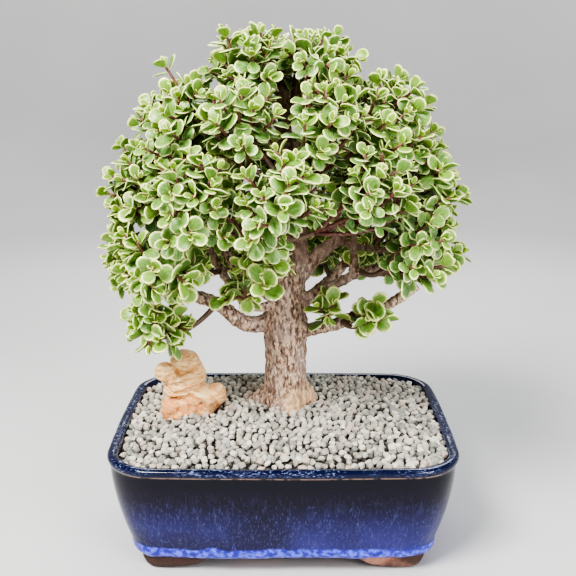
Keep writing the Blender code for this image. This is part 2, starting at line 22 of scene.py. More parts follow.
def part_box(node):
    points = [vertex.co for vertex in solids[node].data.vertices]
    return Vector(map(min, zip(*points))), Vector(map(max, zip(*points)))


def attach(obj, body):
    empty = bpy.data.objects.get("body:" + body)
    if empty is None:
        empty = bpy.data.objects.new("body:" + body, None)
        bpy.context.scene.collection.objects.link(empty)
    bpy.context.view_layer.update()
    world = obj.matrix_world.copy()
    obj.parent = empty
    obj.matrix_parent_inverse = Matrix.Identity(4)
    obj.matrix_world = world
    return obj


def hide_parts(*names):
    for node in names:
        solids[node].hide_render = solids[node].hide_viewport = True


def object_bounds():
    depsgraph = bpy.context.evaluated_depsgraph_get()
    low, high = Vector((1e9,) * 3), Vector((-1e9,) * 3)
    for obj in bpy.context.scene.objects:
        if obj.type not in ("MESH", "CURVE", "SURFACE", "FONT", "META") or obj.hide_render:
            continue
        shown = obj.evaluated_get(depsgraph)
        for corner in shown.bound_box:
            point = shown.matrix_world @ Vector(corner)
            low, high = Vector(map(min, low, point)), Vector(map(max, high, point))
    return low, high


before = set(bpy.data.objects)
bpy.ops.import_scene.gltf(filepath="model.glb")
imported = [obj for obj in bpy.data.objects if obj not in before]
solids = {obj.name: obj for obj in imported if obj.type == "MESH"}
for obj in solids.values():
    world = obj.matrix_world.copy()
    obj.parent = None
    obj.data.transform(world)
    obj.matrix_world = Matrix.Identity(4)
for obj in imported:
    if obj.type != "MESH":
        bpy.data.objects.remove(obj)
cad_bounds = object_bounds()


def rounded(corners):
    """Corners of a box to a tenth of a millimetre, for printing."""
    return [tuple(round(value, 4) for value in corner) for corner in corners]


print("solids:", len(solids), "box:", rounded(cad_bounds))

# %% [markdown]
# ## Camera and light
# The tree is seen from a little above, straight on, as on a table at arm's length.
# A 54 mm lens from 0.6 m keeps the pot's near edge wider than its far edge. A large
# soft light high on the left, a weaker one on the right and a pale sky are what a
# small studio has, and they leave one long highlight along the rim. A sun or
# small lamps would cut hard shadows into the leaves, so they aren't used.

# %% Camera, lights and floor
camera_data = bpy.data.cameras.new("camera")
camera_data.lens = 54.06
camera_data.sensor_width = 36.0
camera = bpy.data.objects.new("camera", camera_data)
camera.location = (0.0033, -0.618, 0.3556)
camera.rotation_euler = (math.radians(75), 0, 0)
bpy.context.scene.collection.objects.link(camera)
bpy.context.scene.camera = camera


def soft_light(name, place, aim, size, power, colour=(1.0, 1.0, 1.0)):
    """A rectangular studio light at a place, turned towards a point."""
    data = bpy.data.lights.new(name, "AREA")
    data.shape = "RECTANGLE"
    data.size, data.size_y = size
    data.energy = power
    data.color = colour
    light = bpy.data.objects.new(name, data)
    light.location = place
    light.rotation_euler = (Vector(aim) - Vector(place)).to_track_quat("-Z", "Y").to_euler()
    bpy.context.scene.collection.objects.link(light)
    return light


TREE_MIDDLE = (0, 0, 0.2)
WARM, COOL = (1.0, 0.98, 0.94), (0.97, 0.98, 1.0)
soft_light("key_light", (-0.55, -0.75, 1.15), TREE_MIDDLE, (0.55, 0.4), 30.0, WARM)
soft_light("fill_light", (0.75, -0.95, 0.60), TREE_MIDDLE, (0.6, 0.6), 9.5, COOL)
soft_light("back_light", (0.1, 1.0, 0.9), TREE_MIDDLE, (0.9, 0.5), 8.0)

world = bpy.data.worlds.new("studio")
world.use_nodes = True
sky = world.node_tree.nodes["Background"]
sky.inputs["Color"].default_value = (0.80, 0.84, 0.90, 1)
sky.inputs["Strength"].default_value = 0.32
bpy.context.scene.world = world
bpy.context.scene.view_settings.look = "AgX - High Contrast"
print("camera", tuple(camera.location), "lens", camera_data.lens)


# %% [markdown]
# ## A few helpers for materials
# Every finish below is a small network of shader nodes. Writing them out is clear
# but long, so helpers do the typing: one makes a node and connects its inputs, one
# starts a material, and the rest mix, mask and raise. Coordinates come from the
# object, in metres, so one unit of noise is the same size on every piece.

# %% Shader helpers
def shader_node(tree, kind, values=None, **settings):
    """Makes a shader node, sets its options, and fills or links its inputs."""
    made = tree.nodes.new("ShaderNode" + kind)
    for key, value in settings.items():
        setattr(made, key, value)
    for key, value in (values or {}).items():
        socket = made.inputs[key]
        if isinstance(value, bpy.types.NodeSocket):
            tree.links.new(value, socket)
        else:
            socket.default_value = value
    return made


def start_material(name, roughness=0.5, **shader_values):
    """A material with its Principled shader, and where the patterns start from."""
    made = bpy.data.materials.new(name)
    made.use_nodes = True
    shader = made.node_tree.nodes["Principled BSDF"]
    shader.inputs["Roughness"].default_value = roughness
    for key, value in shader_values.items():
        shader.inputs[key.replace("_", " ")].default_value = value
    place = shader_node(made.node_tree, "TexCoord").outputs["Object"]
    return made, made.node_tree, shader, place


print("helpers that make nodes are ready")


# %% Mixing and masking helpers
def mix_colours(tree, share, first, second):
    """The colour between two colours, by a share from 0 to 1."""
    mixed = tree.nodes.new("ShaderNodeMix")
    mixed.data_type = "RGBA"
    for number, value in ((0, share), (6, first), (7, second)):
        socket = mixed.inputs[number]
        if isinstance(value, bpy.types.NodeSocket):
            tree.links.new(value, socket)
        else:
            socket.default_value = (*value, 1) if isinstance(value, tuple) else value
    return mixed.outputs[2]


def between(tree, value, low, high):
    """0 where value is under low, 1 over high, with a soft step between."""
    ends = {"Value": value, "From Min": low, "From Max": high}
    made = shader_node(tree, "MapRange", ends, interpolation_type="SMOOTHSTEP")
    return made.outputs["Result"]


def math_node(tree, operation, *values):
    """Arithmetic on one, two or three values."""
    return shader_node(tree, "Math", dict(enumerate(values)), operation=operation).outputs[0]


def times(tree, first, second):
    """The product of two values. Of two masks, it is where both are."""
    return math_node(tree, "MULTIPLY", first, second)


def tint(tree, colour, mask, strength, tone):
    """The colour, moved towards a tone where the mask is, by at most the strength."""
    return mix_colours(tree, times(tree, mask, strength), colour, tone)


def noise_value(tree, vector, scale, detail):
    """Plain noise, from 0 to 1."""
    values = {"Vector": vector, "Scale": scale, "Detail": detail}
    return shader_node(tree, "TexNoise", values).outputs[0]


print("helpers that mix and mask are ready")


# %% Helpers that feed the shader
def paint(tree, shader, colour):
    """Puts the finished colour in the shader."""
    tree.links.new(colour, shader.inputs["Base Color"])


def vary_roughness(tree, shader, value, least, most, low=0.0, high=1.0):
    """Sets the roughness from least to most as a value goes from low to high."""
    ends = {"Value": value, "From Min": low, "From Max": high, "To Min": least, "To Max": most}
    made = shader_node(tree, "MapRange", ends)
    tree.links.new(made.outputs["Result"], shader.inputs["Roughness"])


def bump(tree, shader, height, distance, strength):
    """Raises the surface, in light only, by a height pattern."""
    made = shader_node(tree, "Bump", {"Height": height, "Distance": distance, "Strength": strength})
    tree.links.new(made.outputs["Normal"], shader.inputs["Normal"])


print("helpers that feed the shader are ready")


# %% A shared group of nodes, and a simple finish
def patch_group():
    """Shared by most finishes: soft-edged patches of noise, as a mask."""
    group = bpy.data.node_groups.new("patches", "ShaderNodeTree")
    group.interface.new_socket("Vector", in_out="INPUT", socket_type="NodeSocketVector")
    for name, value in (("Scale", 100.0), ("Detail", 3.0), ("Low", 0.45), ("High", 0.55)):
        socket = group.interface.new_socket(name, in_out="INPUT", socket_type="NodeSocketFloat")
        socket.default_value = value
    group.interface.new_socket("Mask", in_out="OUTPUT", socket_type="NodeSocketFloat")
    given = group.nodes.new("NodeGroupInput").outputs
    pattern = noise_value(group, given["Vector"], given["Scale"], given["Detail"])
    mask = between(group, pattern, given["Low"], given["High"])
    group.links.new(mask, group.nodes.new("NodeGroupOutput").inputs["Mask"])
    return group


PATCHES = patch_group()


def patches(tree, vector, scale, low, high, detail):
    """Places the shared group: a mask, 0 where the noise is under low, 1 over high."""
    made = tree.nodes.new("ShaderNodeGroup")
    made.node_tree = PATCHES
    tree.links.new(vector, made.inputs["Vector"])
    for key, value in (("Scale", scale), ("Detail", detail), ("Low", low), ("High", high)):
        made.inputs[key].default_value = value
    return made.outputs["Mask"]


def stretched(tree, vector, scale):
    """The coordinates squeezed along some axes, so that a pattern runs in streaks."""
    return shader_node(tree, "Mapping", {"Vector": vector, "Scale": scale}).outputs["Vector"]


def two_tone(name, roughness, grain, dark, light, raised=None, stretch=None, **shader_values):
    """A finish of one pattern, which mixes two colours and, if raised, makes the bump."""
    made, tree, shader, place = start_material(name, roughness, **shader_values)
    mask = patches(tree, stretched(tree, place, stretch) if stretch else place, *grain)
    paint(tree, shader, mix_colours(tree, mask, dark, light))
    if raised:
        bump(tree, shader, mask, *raised)
    return made


print("material helpers ready, shared group:", PATCHES.name)


# %% [markdown]
# ## A few helpers for modelling
# Operators act on whatever is selected, and loading leaves the solids selected. So
# each model starts by clearing the selection, and faces are picked by where they
# are. A finished piece gets its place put into its mesh, its finish and the body that
# it rides on, and the solids that it stands for are hidden.

# %% Modelling helpers
def clear_selection():
    if bpy.context.object and bpy.context.object.mode != "OBJECT":
        bpy.ops.object.mode_set(mode="OBJECT")
    bpy.ops.object.select_all(action="DESELECT")


def take(piece):
    """Makes a piece the only selected one, and the active one."""
    clear_selection()
    piece.select_set(True)
    bpy.context.view_layer.objects.active = piece
    return piece


def pick_faces(piece, wanted):
    """In edit mode, selects the faces whose normal is wanted."""
    bpy.ops.mesh.select_mode(type="FACE")
    bpy.ops.mesh.select_all(action="DESELECT")
    shape = bmesh.from_edit_mesh(piece.data)
    for face in shape.faces:
        if wanted(face.normal):
            face.select = True
    bmesh.update_edit_mesh(piece.data)


def pick_points(piece, wanted):
    """In edit mode, selects the points that are wanted."""
    bpy.ops.mesh.select_mode(type="VERT")
    bpy.ops.mesh.select_all(action="DESELECT")
    shape = bmesh.from_edit_mesh(piece.data)
    for point in shape.verts:
        point.select = bool(wanted(point.co))
    shape.select_flush_mode()
    bmesh.update_edit_mesh(piece.data)


clear_selection()
print("selection helpers ready, selected now:", len(bpy.context.selected_objects))


# %% Shaping helpers
def apply_modifier(piece, kind, **settings):
    """Adds a modifier, sets it and applies it."""
    take(piece)
    modifier = piece.modifiers.new(kind.lower(), kind)
    for key, value in settings.items():
        setattr(modifier, key, value)
    bpy.ops.object.modifier_apply(modifier=modifier.name)


def push_points(piece, how_far):
    """Moves each point straight out of the surface, by a distance read from its place."""
    outward = [point.normal.copy() for point in piece.data.vertices]
    for point, direction in zip(piece.data.vertices, outward):
        point.co += direction * how_far(point.co.copy())


def link(name, mesh):
    """A new object in the scene."""
    piece = bpy.data.objects.new(name, mesh)
    bpy.context.scene.collection.objects.link(piece)
    return piece


def join_pieces(name, pieces):
    """Joins pieces into one."""
    clear_selection()
    for piece in pieces:
        piece.select_set(True)
    bpy.context.view_layer.objects.active = pieces[0]
    bpy.ops.object.join()
    joined = bpy.context.object
    joined.name = name
    return joined


def merge_doubles(piece):
    """Welds a solid's loose triangles at their shared points."""
    take(piece)
    bpy.ops.object.mode_set(mode="EDIT")
    bpy.ops.mesh.select_all(action="SELECT")
    bpy.ops.mesh.remove_doubles(threshold=0.00001)
    bpy.ops.object.mode_set(mode="OBJECT")


print("shaping helpers ready")


# %% Finishing helpers
def give_finish(piece, *finishes):
    """Takes the piece's materials away and gives it these."""
    piece.data.materials.clear()
    for finish in finishes:
        piece.data.materials.append(finish)


def finish_piece(piece, slot, *replaced):
    """Puts the piece's place in its mesh and ties it to the frame."""
    take(piece)
    bpy.ops.object.transform_apply(location=True, rotation=True, scale=True)
    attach(piece, "root")
    if replaced:
        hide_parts(*replaced)
    piece.data.calc_loop_triangles()
    print(f"{piece.name}: {len(piece.data.loop_triangles)} triangles")
    return piece


print("finishing helpers ready")

# %% [markdown]
# ## The pot
# The pot is a rounded rectangle, wider at the rim than at the base, with a rolled
# lip, a thick bead of glaze round its foot and four bare clay feet. It could be a
# lofted curve or a cut block. Here it starts as one flat face with rounded corners,
# and each inset with a depth makes the next ring of the wall, because an inset moves
# every side in by the same distance and so keeps the corners true.

# %% Measure the pot's solid
pot_low, pot_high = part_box("pot")
RIM_LENGTH = pot_high.x - pot_low.x
RIM_WIDTH = pot_high.y - pot_low.y
POT_HEIGHT = pot_high.z
# What the box doesn't tell is the maker's own sizes, which the solid has too.
CORNER_RADIUS = 0.031
SIDE_BOW = 0.0035
WALL = 0.0065
FOOT_HEIGHT = 0.012
LIP_HEIGHT = 0.0065
LIP_OVERHANG = 0.0015
BODY_TAPER = 0.0162
TAPER_POWER = 1.7
NECK_Z = POT_HEIGHT - LIP_HEIGHT
FLOOR_Z = FOOT_HEIGHT + 0.008
HOLE_RADIUS = 0.009
print("pot", rounded([(RIM_LENGTH, RIM_WIDTH, POT_HEIGHT)]))


# %% The rounded outline
def rounded_outline():
    """A flat face the size of the rim, with rounded corners and slightly bowed sides."""
    clear_selection()
    bpy.ops.mesh.primitive_plane_add(size=1, location=(0, 0, 0))
    outline = bpy.context.object
    bpy.ops.object.mode_set(mode="EDIT")
    bpy.ops.transform.resize(value=(RIM_LENGTH - 2 * SIDE_BOW, RIM_WIDTH - 2 * SIDE_BOW, 1))
    bpy.ops.transform.translate(value=(0, 0, POT_HEIGHT - LIP_HEIGHT / 2))
    bpy.ops.mesh.bevel(offset=CORNER_RADIUS, segments=8, affect="VERTICES")
    bpy.ops.mesh.select_all(action="SELECT")
    bpy.ops.mesh.delete(type="ONLY_FACE")
    for along, cuts in ((0, 23), (1, 15)):
        bpy.ops.mesh.select_mode(type="EDGE")
        bpy.ops.mesh.select_all(action="DESELECT")
        shape = bmesh.from_edit_mesh(outline.data)
        for edge in shape.edges:
            run = edge.verts[0].co - edge.verts[1].co
            edge.select = abs(run[along]) > 3 * CORNER_RADIUS
        bmesh.update_edit_mesh(outline.data)
        bpy.ops.mesh.subdivide(number_cuts=cuts)
    shape = bmesh.from_edit_mesh(outline.data)
    for point in shape.verts:
        bow_x = 1 - (point.co.y / (RIM_WIDTH / 2)) ** 2
        bow_y = 1 - (point.co.x / (RIM_LENGTH / 2)) ** 2
        point.co.x *= 1 + SIDE_BOW * bow_x / (RIM_LENGTH / 2 - SIDE_BOW)
        point.co.y *= 1 + SIDE_BOW * bow_y / (RIM_WIDTH / 2 - SIDE_BOW)
    bmesh.update_edit_mesh(outline.data)
    bpy.ops.mesh.select_all(action="SELECT")
    bpy.ops.mesh.edge_face_add()
    return outline


def wall_inset(z):
    """How far the outer wall stands in from the rim's edge."""
    rise = min(max((z - FOOT_HEIGHT) / (NECK_Z - FOOT_HEIGHT), 0.0), 1.0)
    return LIP_OVERHANG + BODY_TAPER * (1 - rise) ** TAPER_POWER


def inset_along(profile):
    """From a selected face, one inset for each step of a profile of (inset, depth)."""
    for (inset, depth), (next_inset, next_depth) in zip(profile, profile[1:]):
        bpy.ops.mesh.inset(
            thickness=next_inset - inset,
            depth=next_depth - depth,
            use_even_offset=True,
            use_boundary=True,
        )


pot = rounded_outline()
pot.name = "pot_body"
print("outline points", len(bmesh.from_edit_mesh(pot.data).verts))

# %% The lip and the inside
bpy.ops.mesh.select_all(action="SELECT")
LIP_BAND = 0.0012
GLAZE_THICK = 0.0004
INNER_RINGS, OUTER_RINGS = 6, 14
bpy.ops.mesh.extrude_region_move(TRANSFORM_OT_translate={"value": (0, 0, LIP_BAND)})
bpy.ops.mesh.select_all(action="SELECT")
bpy.ops.mesh.normals_make_consistent(inside=False)

# From the upper face, a depth is a height over that face.
lip_z = POT_HEIGHT - LIP_HEIGHT / 2 + LIP_BAND
LIP_RISE = POT_HEIGHT - lip_z
lip_round = ((0.0, 0.0), (0.0004, 0.5), (0.0014, 0.88), (0.0028, 1.0))
lip_round += ((0.0046, 1.0), (0.0062, 0.8), (0.0070, 0.2), (0.0076, -0.5))
over_lip = [(inset, rise * LIP_RISE) for inset, rise in lip_round]
for step in range(INNER_RINGS + 1):
    z = NECK_Z + (FLOOR_Z - NECK_Z) * step / INNER_RINGS
    over_lip.append((wall_inset(z) + WALL, z - lip_z))
pick_faces(pot, lambda normal: normal.z > 0.9)
inset_along(over_lip)
print("rings of the lip and the inside", len(over_lip))

# %% The underside of the lip, the outer wall and the bead of glaze
lip_low = POT_HEIGHT - LIP_HEIGHT / 2
outside = [(0.0, 0.0), (0.0003, 0.0011), (0.0009, 0.0021)]
outside += [(0.0016, lip_low - NECK_Z - 0.0004), (0.0020, lip_low - NECK_Z + 0.0005)]
BEAD_TOP = 0.0228
for step in range(1, OUTER_RINGS + 1):
    z = NECK_Z + (FOOT_HEIGHT + 0.0015 - NECK_Z) * step / OUTER_RINGS
    outside.append((wall_inset(z) + GLAZE_THICK, lip_low - z))
bead = [(0.0214, 0.0005), (0.0192, 0.0014), (0.0166, 0.0018), (0.0142, 0.0012), (0.0125, 0.0)]
outside = [step for step in outside if lip_low - step[1] > BEAD_TOP]
outside += [(wall_inset(z) + GLAZE_THICK - out, lip_low - z) for z, out in bead]
outside.append((wall_inset(FOOT_HEIGHT) + 0.0028, lip_low - FOOT_HEIGHT))
pick_faces(pot, lambda normal: normal.z < -0.9)
inset_along(outside)
print("rings of the outside", len(outside))

# %% [markdown]
# The feet are drawn down out of the base. Two more insets leave a band of faces
# round the base's edge. The faces of that band near the corners are pushed down, and
# the low points between the feet rise in a gentle arch, as a foot cut with a wire
# does.

# %% The feet
FOOT_INSET = 0.0005
FOOT_THICKNESS = 0.012
FOOT_FLAT_X, FOOT_TOE_X, FOOT_TOP_X = 0.0773, 0.0583, 0.0508
FOOT_FLAT_Y, FOOT_TOE_Y, FOOT_TOP_Y = 0.0473, 0.0283, 0.0208
FOOT_TOE_RISE = 0.0035
bpy.ops.mesh.inset(thickness=FOOT_INSET, depth=0, use_even_offset=True)
bpy.ops.mesh.inset(thickness=FOOT_THICKNESS, depth=0, use_even_offset=True)


def foot_rise(at):
    """How high the underside of the foot band is over the table at a point."""
    rise = 0.0
    for across, flat, toe, top in (
        (abs(at.x), FOOT_FLAT_X, FOOT_TOE_X, FOOT_TOP_X),
        (abs(at.y), FOOT_FLAT_Y, FOOT_TOE_Y, FOOT_TOP_Y),
    ):
        if across >= flat:
            up = 0.0
        elif across >= toe:
            up = FOOT_TOE_RISE * (flat - across) / (flat - toe)
        else:
            up = FOOT_TOE_RISE + (FOOT_HEIGHT - FOOT_TOE_RISE) * (toe - across) / (toe - top)
        rise = max(rise, min(FOOT_HEIGHT, up))
    return rise


print("a foot reaches", round(pot_high.x - FOOT_FLAT_X, 4), "in from the rim's end")

# %% Draw the feet down
bpy.ops.mesh.select_mode(type="FACE")
shape = bmesh.from_edit_mesh(pot.data)
facing_down = [face for face in shape.faces if face.normal.z < -0.9]
base_face = max(facing_down, key=lambda face: face.calc_area())
bpy.ops.mesh.select_all(action="DESELECT")
foot_count = 0
for edge in base_face.edges:
    for face in edge.link_faces:
        lowest = min(foot_rise(point.co) for point in face.verts)
        if face is not base_face and lowest < FOOT_HEIGHT * 0.98:
            face.select = True
            foot_count += 1
bmesh.update_edit_mesh(pot.data)
bpy.ops.mesh.extrude_region_move(TRANSFORM_OT_translate={"value": (0, 0, -FOOT_HEIGHT)})
shape = bmesh.from_edit_mesh(pot.data)
for point in shape.verts:
    if point.co.z < 0.0005:
        point.co.z = min(FOOT_HEIGHT, foot_rise(point.co))
bmesh.update_edit_mesh(pot.data)
bpy.ops.mesh.select_all(action="SELECT")
bpy.ops.mesh.remove_doubles(threshold=0.00002)
bpy.ops.mesh.normals_make_consistent(inside=False)
bpy.ops.object.mode_set(mode="OBJECT")
print("foot faces", foot_count)

# %% [markdown]
# One level of subdivision rounds the rings into a thrown and moulded surface. Real
# pots are never quite true, so the wall gets a slow waviness of a few tenths of a
# millimetre, and the bead of glaze swells and thins along the foot. The drainage
# holes are cut last, because a hole in a subdivided face would pull it out of shape.

# %% Round the pot, make it hand-made, cut the holes
apply_modifier(pot, "SUBSURF", levels=1, render_levels=1)


def pot_waviness(at):
    slow = noise.noise(at * 22) * 0.0004
    if FOOT_HEIGHT < at.z < BEAD_TOP:
        slow += noise.noise(at * 70) * 0.0007 + noise.noise(at * 190) * 0.0003
    elif at.z > NECK_Z:
        slow += noise.noise(at * 120) * 0.00015
    return slow if at.z > FOOT_HEIGHT + 0.0005 else 0.0


push_points(pot, pot_waviness)
hole_places = []
for side in ("left", "right"):
    screen_low, screen_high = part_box(f"drainage_screen_{side}")
    hole_places.append((screen_low.x + screen_high.x) / 2)
for x in hole_places:
    clear_selection()
    hole = (x, 0, FOOT_HEIGHT)
    bpy.ops.mesh.primitive_cylinder_add(radius=HOLE_RADIUS, depth=0.04, location=hole)
    drill = bpy.context.object
    apply_modifier(pot, "BOOLEAN", object=drill, operation="DIFFERENCE", solver="EXACT")
    bpy.data.objects.remove(drill)
take(pot)
bpy.ops.object.shade_smooth_by_angle(angle=math.radians(50))
print("holes at", [round(x, 4) for x in hole_places])

# %% [markdown]
# ### Glaze and clay
# The blue glaze is thick and glossy. It broke thin and brown just under the lip, ran
# down the wall in fine pale streaks, and gathered in a bright cobalt bead at the
# bottom. So the colour is layered by height: a dark wall, streaks stretched along
# Z, the bead, a band of painted shade under the lip, the lip with pale specks and
# painted highlight, and the thin line. The feet are bare clay, darker in patches,
# with painted shade on the left feet. Bump is only a faint orange-peel, since a
# glaze is smooth.

# %% The glaze
# Heights over the table, from where each change starts to where it is full.
DARK_TO_BLUE = (0.068, 0.020)
STREAKS = (0.0750, 0.048)
BEAD = (0.0266, 0.0244)
SHADE_UNDER_LIP = (0.0705, 0.0765)
LIP = (NECK_Z + 0.0013, NECK_Z + 0.0019)
LIP_SPECKS_AND_HIGHLIGHT = (NECK_Z + 0.0015, NECK_Z + 0.0030)
THIN_LINE_UP = (NECK_Z - 0.0002, NECK_Z + 0.0004)
THIN_LINE_DOWN = (NECK_Z + 0.0017, NECK_Z + 0.0011)

glaze, tree, shader, place = start_material("blue_glaze", roughness=0.1, IOR=1.42)
split = shader_node(tree, "SeparateXYZ", {"Vector": place})
height = split.outputs["Z"]
wobble = noise_value(tree, place, 60.0, 2.0)
wavy_height = math_node(tree, "MULTIPLY_ADD", wobble, 0.0075, height)

low_down = between(tree, height, *DARK_TO_BLUE)
wall_colour = mix_colours(tree, low_down, (0.0070, 0.0050, 0.0160), (0.0150, 0.0125, 0.0620))
cloud = patches(tree, place, 16.0, 0.42, 0.66, 2.0)
to_right = between(tree, split.outputs["X"], 0.02, 0.115)
pool = times(tree, math_node(tree, "MAXIMUM", cloud, to_right), low_down)
wall_colour = tint(tree, wall_colour, pool, 0.55, (0.050, 0.050, 0.280))
fine_streaks = patches(tree, stretched(tree, place, (1, 1, 0.16)), 1150.0, 0.56, 0.70, 2.0)
broad_streaks = patches(tree, stretched(tree, place, (1, 1, 0.10)), 420.0, 0.50, 0.72, 2.0)
all_streaks = math_node(tree, "MULTIPLY_ADD", broad_streaks, 0.35, fine_streaks)
all_streaks = times(tree, all_streaks, between(tree, height, *STREAKS))
wall_colour = tint(tree, wall_colour, all_streaks, 0.5, (0.095, 0.110, 0.300))

bead_mottle = patches(tree, place, 260.0, 0.38, 0.66, 3.0)
bead_colour = mix_colours(tree, bead_mottle, (0.030, 0.032, 0.360), (0.140, 0.175, 0.860))
colour = mix_colours(tree, between(tree, wavy_height, *BEAD), wall_colour, bead_colour)
print("glaze nodes up to the lip", len(tree.nodes))

# %% The glaze under and over the lip
# Painted shade: a dark band on the wall just under the lip's overhang.
lip_overhang_shade = between(tree, height, NECK_Z + 0.0014, NECK_Z)
lip_overhang_shade = times(tree, between(tree, height, *SHADE_UNDER_LIP), lip_overhang_shade)
colour = tint(tree, colour, lip_overhang_shade, 0.75, (0.0035, 0.0040, 0.0100))
thin = patches(tree, stretched(tree, place, (1, 1, 0.3)), 150.0, 0.30, 0.52, 2.0)
thin_line = between(tree, height, *THIN_LINE_DOWN)
thin_line = times(tree, between(tree, height, *THIN_LINE_UP), thin_line)
colour = tint(tree, colour, thin_line, thin, (0.300, 0.190, 0.140))
# Pale specks over the upper lip, in patches: partly the glaze's own speckle, partly painted
# highlight along the rim.
lip_mottle = patches(tree, stretched(tree, place, (0.6, 0.6, 2.2)), 700.0, 0.52, 0.70, 3.0)
lip_speck_and_highlight_patches = patches(tree, place, 38.0, 0.36, 0.60, 2.0)
lip_speck_and_highlight = times(tree, between(tree, height, *LIP_SPECKS_AND_HIGHLIGHT), lip_speck_and_highlight_patches)
lip_colour = tint(tree, (0.0050, 0.0072, 0.0380), lip_mottle, lip_speck_and_highlight, (0.190, 0.240, 0.430))
colour = mix_colours(tree, between(tree, height, *LIP), colour, lip_colour)
paint(tree, shader, colour)
vary_roughness(tree, shader, patches(tree, place, 90.0, 0.35, 0.75, 2.0), 0.07, 0.17)
bump(tree, shader, noise_value(tree, place, 420.0, 2.0), 0.00012, 0.35)
print("glaze nodes", len(tree.nodes))

# %% The clay of the feet
clay, tree, shader, place = start_material("foot_clay", roughness=0.8)
split = shader_node(tree, "SeparateXYZ", {"Vector": place})
# Darker in patches, and painted shade on the left: the feet at X under 0 are darkened.
patchy_dark_and_left_shade = patches(tree, place, 26.0, 0.40, 0.58, 4.0)
patchy_dark_and_left_shade = math_node(tree, "MAXIMUM", patchy_dark_and_left_shade, between(tree, split.outputs["X"], 0.0, -0.06))
grain = patches(tree, place, 900.0, 0.35, 0.65, 2.0)
bare = mix_colours(tree, grain, (0.400, 0.175, 0.115), (0.500, 0.260, 0.190))
paint(tree, shader, tint(tree, bare, patchy_dark_and_left_shade, 0.9, (0.040, 0.022, 0.018)))
bump(tree, shader, grain, 0.0002, 0.6)

give_finish(pot, glaze, clay)
for face in pot.data.polygons:
    face.material_index = 1 if face.center.z < FOOT_HEIGHT + 0.0001 else 0
finish_piece(pot, "pot_glaze", "pot")

# %% [markdown]
# ## Soil, screens and wires
# Under the gravel the pot is full of dark potting soil, and each hole has a plastic
# screen held by a bent wire. They show only from below, and their solids already
# have the right shape, so they keep it and get a finish: crumbs for the soil, dull
# plastic for the screens and drawn aluminium for the wires.

# %% Finishes for the hidden pieces
soil_finish = two_tone(
    "potting_soil", 0.95, (420.0, 0.35, 0.70, 5.0),
    (0.018, 0.011, 0.007), (0.085, 0.055, 0.035), raised=(0.0012, 1.0),
)
screen_finish = two_tone(
    "screen_plastic", 0.55, (700.0, 0.40, 0.70, 3.0),
    (0.012, 0.012, 0.013), (0.035, 0.034, 0.033), raised=(0.0001, 0.4),
)
wire_finish = two_tone(
    "tie_wire", 0.38, (2600.0, 0.35, 0.65, 2.0),
    (0.52, 0.50, 0.48), (0.70, 0.69, 0.67), raised=(0.00005, 0.4),
    stretch=(1, 0.1, 0.1), Metallic=1.0,
)
give_finish(solids["soil"], soil_finish)
for side in ("left", "right"):
    give_finish(solids[f"drainage_screen_{side}"], screen_finish)
    give_finish(solids[f"screen_wire_{side}"], wire_finish)
print("finished the solids under the gravel")

# %% [markdown]
# ## One mesh out of many copies
# Gravel and leaves repeat one small model thousands of times. Thousands of objects
# would be slow, and a particle system would leave nothing to export. So each model
# is made once, and this helper stacks turned and scaled copies of it into one
# mesh, with a colour attribute that gives every copy its own tone.

# %% The copying helper
def read_model(piece, map_name=None):
    """The points, faces and face map of a small modelled piece."""
    mesh = piece.data
    points = np.array([point.co for point in mesh.vertices], float).reshape(-1, 3)
    faces = [tuple(face.vertices) for face in mesh.polygons]
    places = None
    if map_name:
        places = np.array([loop.uv for loop in mesh.uv_layers[map_name].data], float).reshape(-1, 2)
    return {"points": points, "faces": faces, "map": places}


def join_copies(name, models, copies, finishes, smooth, map_name=None):
    """copies is a list of (model, 3 by 3 matrix, place, tone, finish number)."""
    points, faces, tones, places, numbers = [], [], [], [], []
    first = 0
    for model, turn, place, tone, number in copies:
        source = models[model]
        points.append(source["points"] @ np.asarray(turn).T + np.asarray(place))
        faces += [tuple(first + corner for corner in face) for face in source["faces"]]
        tones.append(np.tile(np.array(tone, np.float32), (len(source["points"]), 1)))
        if map_name:
            places.append(source["map"])
        numbers.append(np.full(len(source["faces"]), number, np.int32))
        first += len(source["points"])
    mesh = bpy.data.meshes.new(name)
    mesh.from_pydata(np.concatenate(points).tolist(), [], faces)
    attribute = mesh.attributes.new("tone", "FLOAT_COLOR", "POINT")
    attribute.data.foreach_set("color", np.concatenate(tones).astype(np.float32).ravel())
    if map_name:
        layer = mesh.uv_layers.new(name=map_name)
        layer.data.foreach_set("uv", np.concatenate(places).astype(np.float32).ravel())
    mesh.polygons.foreach_set("material_index", np.concatenate(numbers))
    mesh.polygons.foreach_set("use_smooth", np.full(len(faces), smooth))
    for finish in finishes:
        mesh.materials.append(finish)
    mesh.update()
    return link(name, mesh)


def read_tone(tree):
    """The three numbers of each copy's own tone, from 0 to 1."""
    attribute = shader_node(tree, "Attribute", attribute_name="tone")
    split = shader_node(tree, "SeparateColor", {"Color": attribute.outputs["Color"]})
    return split.outputs["Red"], split.outputs["Green"], split.outputs["Blue"]


def gauss_vector(draw, spread):
    """A vector of random direction and about this length."""
    return Vector([draw.gauss(0, spread) for _ in range(3)])


print("copying helper ready")

# %% [markdown]
# ## Gravel
# The top dressing is crushed stone, sharp-edged grey chips of four to seven
# millimetres that lie every way, with dark gaps between them. Bump alone looks flat
# at the rim, and letting thousands of chips fall in a simulation is slow. So a few
# chips are cut out of a coarse ball, and over a thousand places for each layer are
# drawn, no two nearer than a chip, over a dark bed of painted shade that fills the gaps.

# %% Cut the chips
CHIP_MODELS = 8


